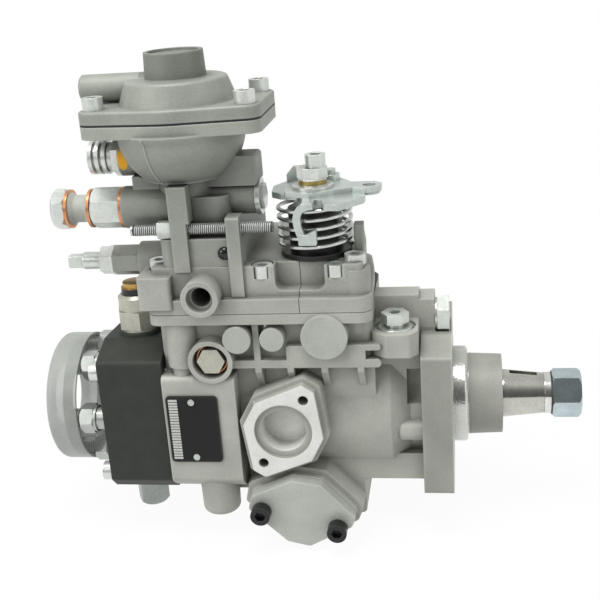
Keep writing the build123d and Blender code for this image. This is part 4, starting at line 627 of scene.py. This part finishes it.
THIN_METALS = {
    "steel": {"look": (linear(194, 194, 186), 1.0, 0.15)},
    "nut_steel": {"look": (linear(188, 202, 206), 1.0, 0.15), "zones": [washer, washer_gap_shade]},
    "spring_steel": {"look": (linear(204, 207, 203), 1.0, 0.22)},
    "zinc": {"look": ZINC},
    "nut_zinc": {"look": ZINC, "zones": [full_load]},
    "screw_zinc": {"look": ZINC, "zones": [full_load, stop_screw_shade]},
    "stack_zinc": {"look": ZINC, "zones": [lever_bush]},
    "bolt_zinc": {"look": ZINC, "zones": [bleed_screw]},
    "holder_zinc": {"look": (linear(190, 194, 189), 0.75, 0.30)},
    "lever_zinc": {"look": (linear(200, 208, 203), 0.66, 0.34)},
    "nickel": {"look": (linear(192, 192, 178), 0.60, 0.34)},
    "bronze": {"look": (linear(196, 150, 92), 0.9, 0.3)},
    "copper": {"look": (linear(216, 152, 104), 0.9, 0.32)},
}
OTHER_METALS = {
    # The grooves of the threads are darkened strongly with painted shade.
    "thread_zinc": {"look": (linear(186, 190, 185), 0.6, 0.42), "worn": 0.5, "grime_and_shade": 1.0,
                    "corner": 0.4 * MM, "hollow": 1.0 * MM, "depth": 0.002 * MM, "edge": 0},
    "black_steel": {"look": (linear(20, 23, 21), 0.0, 0.36), "grain": 1800.0, "depth": 0.02 * MM,
                    "edge": 0.3 * MM, "worn": 0.05, "shine": 0.4},
}
for name, values in THIN_METALS.items():
    FINISHES[name] = make_finish(name, **values, **THIN)
for name, values in OTHER_METALS.items():
    FINISHES[name] = make_finish(name, **values)
print("metals:", ", ".join([*THIN_METALS, *OTHER_METALS]))

# %% [markdown]
# The name plate is black with bright rivets and pale bars, the solenoid's insulator is black plastic with
# a brass nut, the ball plug is gloss black, and the shaft seal and the diaphragm are rubber. The same build
# serves them all, with hardly any wear.

# %% Plate, plastics and rubber
rivets = zone((-145, -48.5, -20), (-112, -47.05, 24), (linear(196, 200, 194), 0.8, 0.35))
terminal_nut = zone((-180, -30, 68.4), (-150, 0, 72), (linear(196, 160, 92), 0.9, 0.3))
PLAIN = {"edge": 0, "worn": 0, "grime_and_shade": 0}

PLASTICS = {
    "plate_black": {"look": (linear(20, 22, 20), 0.0, 0.40), "zones": [rivets], "depth": 0.01 * MM,
                    "edge": 0.15 * MM, "worn": 0.05, "grime_and_shade": 0.1, "shine": 0.15},
    "plate_white": {"look": (linear(206, 208, 202), 0.0, 0.5), "depth": 0, **PLAIN},
    "ball_black": {"look": (linear(26, 27, 26), 0.0, 0.14), "depth": 0, **PLAIN},
    "black_plastic": {"look": (linear(24, 25, 25), 0.0, 0.35), "zones": [terminal_nut], "edge": 0.3 * MM,
                      "worn": 0.03},
    "rubber": {"look": (linear(28, 28, 28), 0.0, 0.6), **PLAIN},
}
for name, values in PLASTICS.items():
    FINISHES[name] = make_finish(name, **values)
print("plastics:", ", ".join(PLASTICS))

# %% [markdown]
# The shipping cap and the overflow's sleeve are milky plastic: the fittings behind show as soft grey
# shapes, and the wall looks denser where it is seen edge on. Real scattering inside a thin wall renders
# slowly and needs a closed mesh. Letting a share of the light straight through, less of it at a glancing
# angle, gives the same soft look.

# %% Milky plastic
EDGE_ON_BLEND = 0.35


def make_milky(name, colour, clear, roughness):
    """A milky plastic. clear is the share of light that passes where the wall is seen square on."""
    finish = make_finish(name, (colour, 0.0, roughness), depth=0.01 * MM, edge=0.8 * MM, worn=0.15,
                         grime_and_shade=0.1)
    tree = finish.node_tree
    edge_on = add_node(tree, "ShaderNodeLayerWeight", Blend=EDGE_ON_BLEND).outputs["Facing"]
    solid = add_range(tree, edge_on, result=(1.0 - clear, 1.0))
    tree.links.new(solid, tree.nodes["Principled BSDF"].inputs["Alpha"])
    return finish


FINISHES["cap_plastic"] = make_milky("cap_plastic", linear(186, 190, 184), 0.48, 0.35)
FINISHES["sleeve_plastic"] = make_milky("sleeve_plastic", linear(186, 189, 180), 0.15, 0.40)
print("finishes ready:", len(FINISHES))

# %% [markdown]
# The record names a material slot for each solid, and a finish of the same name dresses it. A few solids
# look unlike the rest of their slot, so a short table gives each of them a finish of its own.

# %% Dress the frame's nodes
OWN_FINISH = {
    "boost_cover": "dome_grey",
    "timing_cover": "timing_grey",
    "timing_cover_rear": "timing_grey",
    "side_plug": "nickel",
    "solenoid_body": "nickel",
    "delivery_holders": "holder_zinc",
    "overflow_sleeve": "sleeve_plastic",
    "adjusting_screws": "screw_zinc",
    "lock_nuts": "nut_zinc",
    "hex_bolts": "bolt_zinc",
    "control_lever": "lever_zinc",
    "lever_nuts": "stack_zinc",
    "lever_spring": "spring_steel",
    "nut_and_washer": "nut_steel",
}


def dress_nodes():
    slots = {part["node"]: part["material_slot"] for part in frame["record"]["subparts"]}
    for name, node in frame["nodes"].items():
        node.data.materials.clear()
        node.data.materials.append(FINISHES[OWN_FINISH.get(name, slots[name])])
    print("dressed", len(frame["nodes"]), "nodes,", len(OWN_FINISH), "of them with a finish of their own")


dress_nodes()

# %% [markdown]
# Threads, mould seams and the plate's bars follow a rule, so Geometry Nodes make them. Each tree has named
# inputs for its sizes and ends the same way: instances made real, and a finish set. The result is taken as
# a plain mesh. Its piece sits at the origin and rides on a body.

# %% Helpers for trees and pieces


def new_tree(name, inputs):
    """A tree with inputs (label, kind, value), a Finish input and a Geometry output."""
    tree = bpy.data.node_groups.new(name, "GeometryNodeTree")
    for label, kind, value in (*inputs, ("Finish", "NodeSocketMaterial", None)):
        socket = tree.interface.new_socket(label, in_out="INPUT", socket_type=kind)
        if value is not None:
            socket.default_value = value
    tree.interface.new_socket("Geometry", in_out="OUTPUT", socket_type="NodeSocketGeometry")
    return tree, tree.nodes.new("NodeGroupInput").outputs


def end_tree(tree, shape, finish):
    real = add_node(tree, "GeometryNodeRealizeInstances", Geometry=shape)
    dressed = add_node(tree, "GeometryNodeSetMaterial", Geometry=real.outputs[0], Material=finish)
    tree.links.new(dressed.outputs[0], tree.nodes.new("NodeGroupOutput").inputs["Geometry"])
    return tree


def sweep_round(tree, curve, radius, sides):
    """A bar with so many sides along the curve, closed at its ends."""
    ring = add_node(tree, "GeometryNodeCurvePrimitiveCircle", Resolution=sides, Radius=radius)
    sweep = add_node(tree, "GeometryNodeCurveToMesh", Curve=curve, Profile_Curve=ring.outputs["Curve"],
                     Fill_Caps=True)
    return sweep.outputs["Mesh"]


def bake_tree(name, tree, values):
    """The tree's result as a plain mesh, with its inputs set by name."""
    seed = bpy.data.objects.new(name + "_seed", bpy.data.meshes.new(name + "_seed"))
    bpy.context.scene.collection.objects.link(seed)
    modifier = seed.modifiers.new("tree", "NODES")
    modifier.node_group = tree
    for item in tree.interface.items_tree:
        if item.in_out == "INPUT" and item.name in values:
            value = values[item.name]
            modifier[item.identifier] = tuple(value) if isinstance(value, Vector) else value
    view = bpy.context.evaluated_depsgraph_get()
    mesh = bpy.data.meshes.new_from_object(seed.evaluated_get(view))
    seed.modifiers.clear()
    bpy.data.objects.remove(seed)
    mesh.name = name
    return mesh


def add_piece(name, build, finish, smooth=False):
    """The built faces as one piece of the pump, fixed to the housing."""
    if smooth:
        for face in build.faces:
            face.smooth = True
    mesh = bpy.data.meshes.new(name)
    build.to_mesh(mesh)
    build.free()
    mesh.materials.append(FINISHES[finish])
    piece = bpy.data.objects.new(name, mesh)
    bpy.context.scene.collection.objects.link(piece)
    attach(piece, "housing")
    print(name, "faces:", len(mesh.polygons))


def join_meshes(meshes):
    """The meshes as one build, with all faces pointing outwards."""
    build = bmesh.new()
    for mesh in meshes:
        build.from_mesh(mesh)
        bpy.data.meshes.remove(mesh)
    bmesh.ops.recalc_face_normals(build, faces=build.faces)
    return build


print("helpers ready: trees, pieces")

# %% [markdown]
# A thread is a ridge wound on a helix. As a solid it would cost the frame thousands of faces for something
# less than a millimetre deep, and a bump would leave the outline straight. A spiral swept with a small
# diamond shows the teeth in the outline too. One tree serves both kinds of thread.

# %% Thread tree
SPIRAL_STEPS = 24
RIDGE_SIDES = 4


def make_thread_tree():
    tree, enter = new_tree("thread", [
        ("Turns", "NodeSocketFloat", 10.0), ("Radius", "NodeSocketFloat", 3.0 * MM),
        ("Length", "NodeSocketFloat", 10.0 * MM), ("Ridge", "NodeSocketFloat", 0.3 * MM)])
    spiral = add_node(tree, "GeometryNodeCurveSpiral", Resolution=SPIRAL_STEPS, Rotations=enter["Turns"],
                      Start_Radius=enter["Radius"], End_Radius=enter["Radius"], Height=enter["Length"])
    ridge = sweep_round(tree, spiral.outputs["Curve"], enter["Ridge"], RIDGE_SIDES)
    return end_tree(tree, ridge, enter["Finish"])


THREAD = make_thread_tree()
print("tree:", THREAD.name)

# %% [markdown]
# The long stop screw and the tips of the six outlets carry threads. Each thread starts at a place in
# millimetres and runs along X, and the six of the outlets stand on a circle around the shaft's axis.

# %% Threads on the stop screw and the outlets
ALONG_X = Matrix.Rotation(math.radians(90), 4, "Y")
RIDGE_SHARE = 0.36
STOP_START = (-149.5, -39.0, 104.4)
STOP_RADIUS = 2.45
STOP_LENGTH = 67.0
STOP_PITCH = 1.0
OUTLETS = 6
OUTLET_START = -202.0
OUTLET_CIRCLE = 28.0
OUTLET_PHASE = math.radians(-28.0)
OUTLET_RADIUS = 4.75
OUTLET_LENGTH = 6.3
OUTLET_PITCH = 1.25


def add_threads(name, places, radius, length, pitch):
    """One piece of equal threads that start at the places and run along X. All in millimetres."""
    values = {"Turns": length / pitch, "Radius": radius * MM, "Length": length * MM,
              "Ridge": RIDGE_SHARE * pitch * MM, "Finish": FINISHES["thread_zinc"]}
    threads = []
    for place in places:
        threads.append(bake_tree(name, THREAD, values))
        threads[-1].transform(Matrix.Translation(Vector(place) * MM) @ ALONG_X)
    add_piece(name, join_meshes(threads), "thread_zinc")


def outlet_place(index):
    angle = OUTLET_PHASE + math.tau * index / OUTLETS
    return (OUTLET_START, -OUTLET_CIRCLE * math.sin(angle), OUTLET_CIRCLE * math.cos(angle))


outlet_places = [outlet_place(i) for i in range(OUTLETS)]
add_threads("stop_screw_thread", [STOP_START], STOP_RADIUS, STOP_LENGTH, STOP_PITCH)
add_threads("outlet_threads", outlet_places, OUTLET_RADIUS, OUTLET_LENGTH, OUTLET_PITCH)

# %% [markdown]
# Two springs inside stand between a fixed seat and a part that slides: the timing spring and the boost
# spring. Each becomes a merged copy of the frame's coil with the spring finish, and the frame's own coil is
# hidden. The copy does not move with the slide.

# %% Springs copied from the frame
MERGE_REACH = 0.001 * MM
Y_AXIS = 1
Z_AXIS = 2


def add_live_spring(node, axis):
    """A merged copy of the node's coil. The axis sets the length that is printed."""
    mesh = frame["nodes"][node].data.copy()
    build = bmesh.new()
    build.from_mesh(mesh)
    bmesh.ops.remove_doubles(build, verts=build.verts, dist=MERGE_REACH)
    bmesh.ops.recalc_face_normals(build, faces=build.faces)
    build.to_mesh(mesh)
    build.free()
    mesh.materials.clear()
    mesh.materials.append(FINISHES["spring_steel"])
    piece = bpy.data.objects.new(node + "_coil", mesh)
    bpy.context.scene.collection.objects.link(piece)
    low, high = (Vector(corner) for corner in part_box(node))
    start = (low + high) / 2
    end = start.copy()
    start[axis], end[axis] = low[axis], high[axis]
    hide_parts(node)
    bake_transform(piece)
    print(piece.name, "faces:", len(mesh.polygons), "length mm:", round((high - low)[axis] / MM, 1))


add_live_spring("timing_spring", Y_AXIS)
add_live_spring("boost_spring", Z_AXIS)

# %% [markdown]
# Where two halves of a mould met, a casting keeps a low ridge. It runs down the bowl of the boost unit, so
# it has to follow a curved surface. Geometry Nodes shoot a row of rays at the casting from outside and
# thread a thin round line through the points they hit.

# %% Mould seam tree
SEAM_POINTS = 60
SEAM_SIDES = 8


def make_seam_tree():
    tree, enter = new_tree("seam", [
        ("Casting", "NodeSocketObject", None), ("Top", "NodeSocketVector", (0, 0, 0)),
        ("Foot", "NodeSocketVector", (0, 0, 0)), ("Outward", "NodeSocketVector", (1, 0, 0)),
        ("Wire", "NodeSocketFloat", 0.3 * MM)])
    line = add_node(tree, "GeometryNodeCurvePrimitiveLine", Start=enter["Top"], End=enter["Foot"])
    row = add_node(tree, "GeometryNodeResampleCurve", Curve=line.outputs["Curve"], Count=SEAM_POINTS)
    on_axis = tree.nodes.new("GeometryNodeInputPosition").outputs["Position"]
    outside = add_vector(tree, "ADD", on_axis, enter["Outward"])
    inwards = add_vector(tree, "SUBTRACT", (0, 0, 0), enter["Outward"])
    casting = add_node(tree, "GeometryNodeObjectInfo", Object=enter["Casting"])
    ray = add_node(tree, "GeometryNodeRaycast", Target_Geometry=casting.outputs["Geometry"],
                   Source_Position=outside, Ray_Direction=inwards)
    laid = add_node(tree, "GeometryNodeSetPosition", Geometry=row.outputs["Curve"],
                    Position=ray.outputs["Hit Position"], Selection=ray.outputs["Is Hit"])
    seam = sweep_round(tree, laid.outputs["Geometry"], enter["Wire"], SEAM_SIDES)
    return end_tree(tree, seam, enter["Finish"])


SEAM = make_seam_tree()
print("tree:", SEAM.name)

# %% [markdown]
# The bowl is round, so both seams come from one vertical line on its axis. The rays start on opposite
# sides of it, where the two halves of the mould met.

# %% Seams on the bowl
BOWL_AXIS = Vector((-126.5, -20.5, 0.0))
SEAM_TOP = Vector((0, 0, 150.0))
SEAM_FOOT = Vector((0, 0, 121.0))
SEAM_WIRE = 0.6
RAY_START = 60.0
SEAM_TURNS = (-20.0, 160.0)


def bake_seam(turn):
    around = math.radians(turn)
    outward = Vector((math.sin(around), -math.cos(around), 0.0)) * RAY_START
    return bake_tree("bowl_seams", SEAM, {
        "Casting": frame["nodes"]["boost_housing"], "Top": (BOWL_AXIS + SEAM_TOP) * MM,
        "Foot": (BOWL_AXIS + SEAM_FOOT) * MM, "Outward": outward * MM, "Wire": SEAM_WIRE * MM,
        "Finish": FINISHES["boost_grey"]})


seams = join_meshes([bake_seam(turn) for turn in SEAM_TURNS])
add_piece("bowl_seams", seams, "boost_grey")

# %% [markdown]
# Under the bowl a short web of the same casting joins the union's boss to the overflow's boss. It is an
# outline pushed along one axis, with its edges rounded as the mould leaves them.

# %% Web under the bowl
WEB_OUTLINE = ((-151.5, 120.5), (-151.5, 128.6), (-147.5, 128.6), (-146.5, 127.6),
               (-138.0, 127.6), (-138.0, 120.5))
WEB_FRONT = -29.0
WEB_BACK = -12.0
WEB_EDGE = 0.45
WEB_EDGE_STEPS = 3


def build_web():
    build = bmesh.new()
    front, back = ([build.verts.new(Vector((x, y, z)) * MM) for x, z in WEB_OUTLINE]
                   for y in (WEB_FRONT, WEB_BACK))
    build.faces.new(front)
    build.faces.new(back)
    for i in range(len(front)):
        build.faces.new((front[i - 1], front[i], back[i], back[i - 1]))
    bmesh.ops.bevel(build, geom=build.edges[:], offset=WEB_EDGE * MM, segments=WEB_EDGE_STEPS,
                    affect="EDGES", profile=0.5)
    bmesh.ops.recalc_face_normals(build, faces=build.faces)
    return build


add_piece("boost_web", build_web(), "boost_grey")

# %% [markdown]
# A blank strip of even bars runs up the left edge of the name plate. An image of it would need the plate
# unwrapped, so a tree repeats one flat bar up a line of points. The bars stand a hair proud of the plate.

# %% Bar tree


def make_bar_tree():
    tree, enter = new_tree("bars", [
        ("Spacing", "NodeSocketFloat", 1.0 * MM), ("Width", "NodeSocketFloat", 5.0 * MM),
        ("Bar", "NodeSocketFloat", 0.6 * MM), ("Thick", "NodeSocketFloat", 0.1 * MM),
        ("Count", "NodeSocketInt", 10)])
    size = add_node(tree, "ShaderNodeCombineXYZ", X=enter["Width"], Y=enter["Thick"], Z=enter["Bar"])
    bar = add_node(tree, "GeometryNodeMeshCube", Size=size.outputs["Vector"])
    step = add_node(tree, "ShaderNodeCombineXYZ", Z=enter["Spacing"])
    line = add_node(tree, "GeometryNodeMeshLine", Count=enter["Count"], Offset=step.outputs["Vector"])
    spread = add_node(tree, "GeometryNodeInstanceOnPoints", Points=line.outputs["Mesh"],
                      Instance=bar.outputs["Mesh"])
    return end_tree(tree, spread.outputs["Instances"], enter["Finish"])


BAR_ROW = make_bar_tree()
print("tree:", BAR_ROW.name)

# %% [markdown]
# The bars share the height of the strip evenly. Three quarters of each step is bar, and the rest is gap.
# The plate's face lies a little behind its rivets, so its place is worked out from the plate's own box.

# %% Bars on the plate
RIVET_RISE = 0.8
PLATE_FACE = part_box("name_plate")[0][1] / MM + RIVET_RISE
STRIP_LEFT = -141.2
STRIP_RIGHT = -136.6
STRIP_FOOT = -15.0
STRIP_TOP = 18.5
BAR_COUNT = 22
BAR_SHARE = 0.74
BAR_THICK = 0.10
BAR_RISE = 0.04

spacing = (STRIP_TOP - STRIP_FOOT) / BAR_COUNT
bars = bake_tree("plate_bars", BAR_ROW, {
    "Spacing": spacing * MM, "Width": (STRIP_RIGHT - STRIP_LEFT) * MM, "Bar": BAR_SHARE * spacing * MM,
    "Thick": BAR_THICK * MM, "Count": BAR_COUNT, "Finish": FINISHES["plate_white"]})
first_bar = Vector(((STRIP_LEFT + STRIP_RIGHT) / 2, PLATE_FACE - BAR_RISE, STRIP_FOOT + spacing / 2))
bars.transform(Matrix.Translation(first_bar * MM))
add_piece("plate_bars", join_meshes([bars]), "plate_white")

# %% [markdown]
# Four small things are left. A copper ring shows inside the side port, a black ball plugs a bore in the
# cover, and beside the lever's spring a thin ring and a nut sit on the casting. Each is one simple form, so
# mesh code builds it in place.

# %% Rings, ball plug and nut
SIDE_RING = (-92.0, -20.0, 115.0)
SIDE_RING_RADIUS = 9.0
SIDE_RING_THICK = 2.4
SIDE_NUT = (-89.6, -20.0, 115.0)
SIDE_NUT_RADIUS = 6.6
SIDE_NUT_THICK = 1.6
DISC_SIDES = 48
NUT_SIDES = 6
PORT_RING = (-117.0, -42.5, 38.8)
PORT_RING_RADIUS = 7.6
PORT_RING_WIRE = 0.9
RING_ROWS = 48
RING_SIDES = 10
BALL_PLUG = (-106.0, -42.0, 92.7)
BALL_RADII = (3.3, 2.4, 3.3)
BALL_SIDES = 32
BALL_ROWS = 16


def build_ring(place, radius, wire):
    """A round ring that faces along Y."""
    build = bmesh.new()
    rows = []
    for i in range(RING_ROWS):
        around = math.tau * i / RING_ROWS
        rows.append([])
        for j in range(RING_SIDES):
            across = math.tau * j / RING_SIDES
            reach = radius + wire * math.cos(across)
            point = Vector((reach * math.cos(around), wire * math.sin(across), reach * math.sin(around)))
            rows[-1].append(build.verts.new((Vector(place) + point) * MM))
    for i in range(RING_ROWS):
        for j in range(RING_SIDES):
            build.faces.new((rows[i - 1][j - 1], rows[i - 1][j], rows[i][j], rows[i][j - 1]))
    bmesh.ops.recalc_face_normals(build, faces=build.faces)
    return build


def build_ball(place, radii):
    build = bmesh.new()
    shape = Matrix.Translation(Vector(place) * MM) @ Matrix.Diagonal((*radii, 1))
    bmesh.ops.create_uvsphere(build, u_segments=BALL_SIDES, v_segments=BALL_ROWS, radius=MM, matrix=shape)
    return build


def build_disc(place, radius, thick, sides):
    """A round disc or a nut that stands on the place and reaches along X."""
    build = bmesh.new()
    middle = Vector(place) + Vector((thick / 2, 0, 0))
    bmesh.ops.create_cone(build, cap_ends=True, segments=sides, radius1=radius * MM, radius2=radius * MM,
                          depth=thick * MM, matrix=Matrix.Translation(middle * MM) @ ALONG_X)
    return build


side_ring = build_disc(SIDE_RING, SIDE_RING_RADIUS, SIDE_RING_THICK, DISC_SIDES)
side_nut = build_disc(SIDE_NUT, SIDE_NUT_RADIUS, SIDE_NUT_THICK, NUT_SIDES)
port_ring = build_ring(PORT_RING, PORT_RING_RADIUS, PORT_RING_WIRE)
ball_plug = build_ball(BALL_PLUG, BALL_RADII)
add_piece("side_ring", side_ring, "zinc")
add_piece("side_nut", side_nut, "zinc")
add_piece("port_ring", port_ring, "copper", smooth=True)
add_piece("ball_plug", ball_plug, "ball_black", smooth=True)
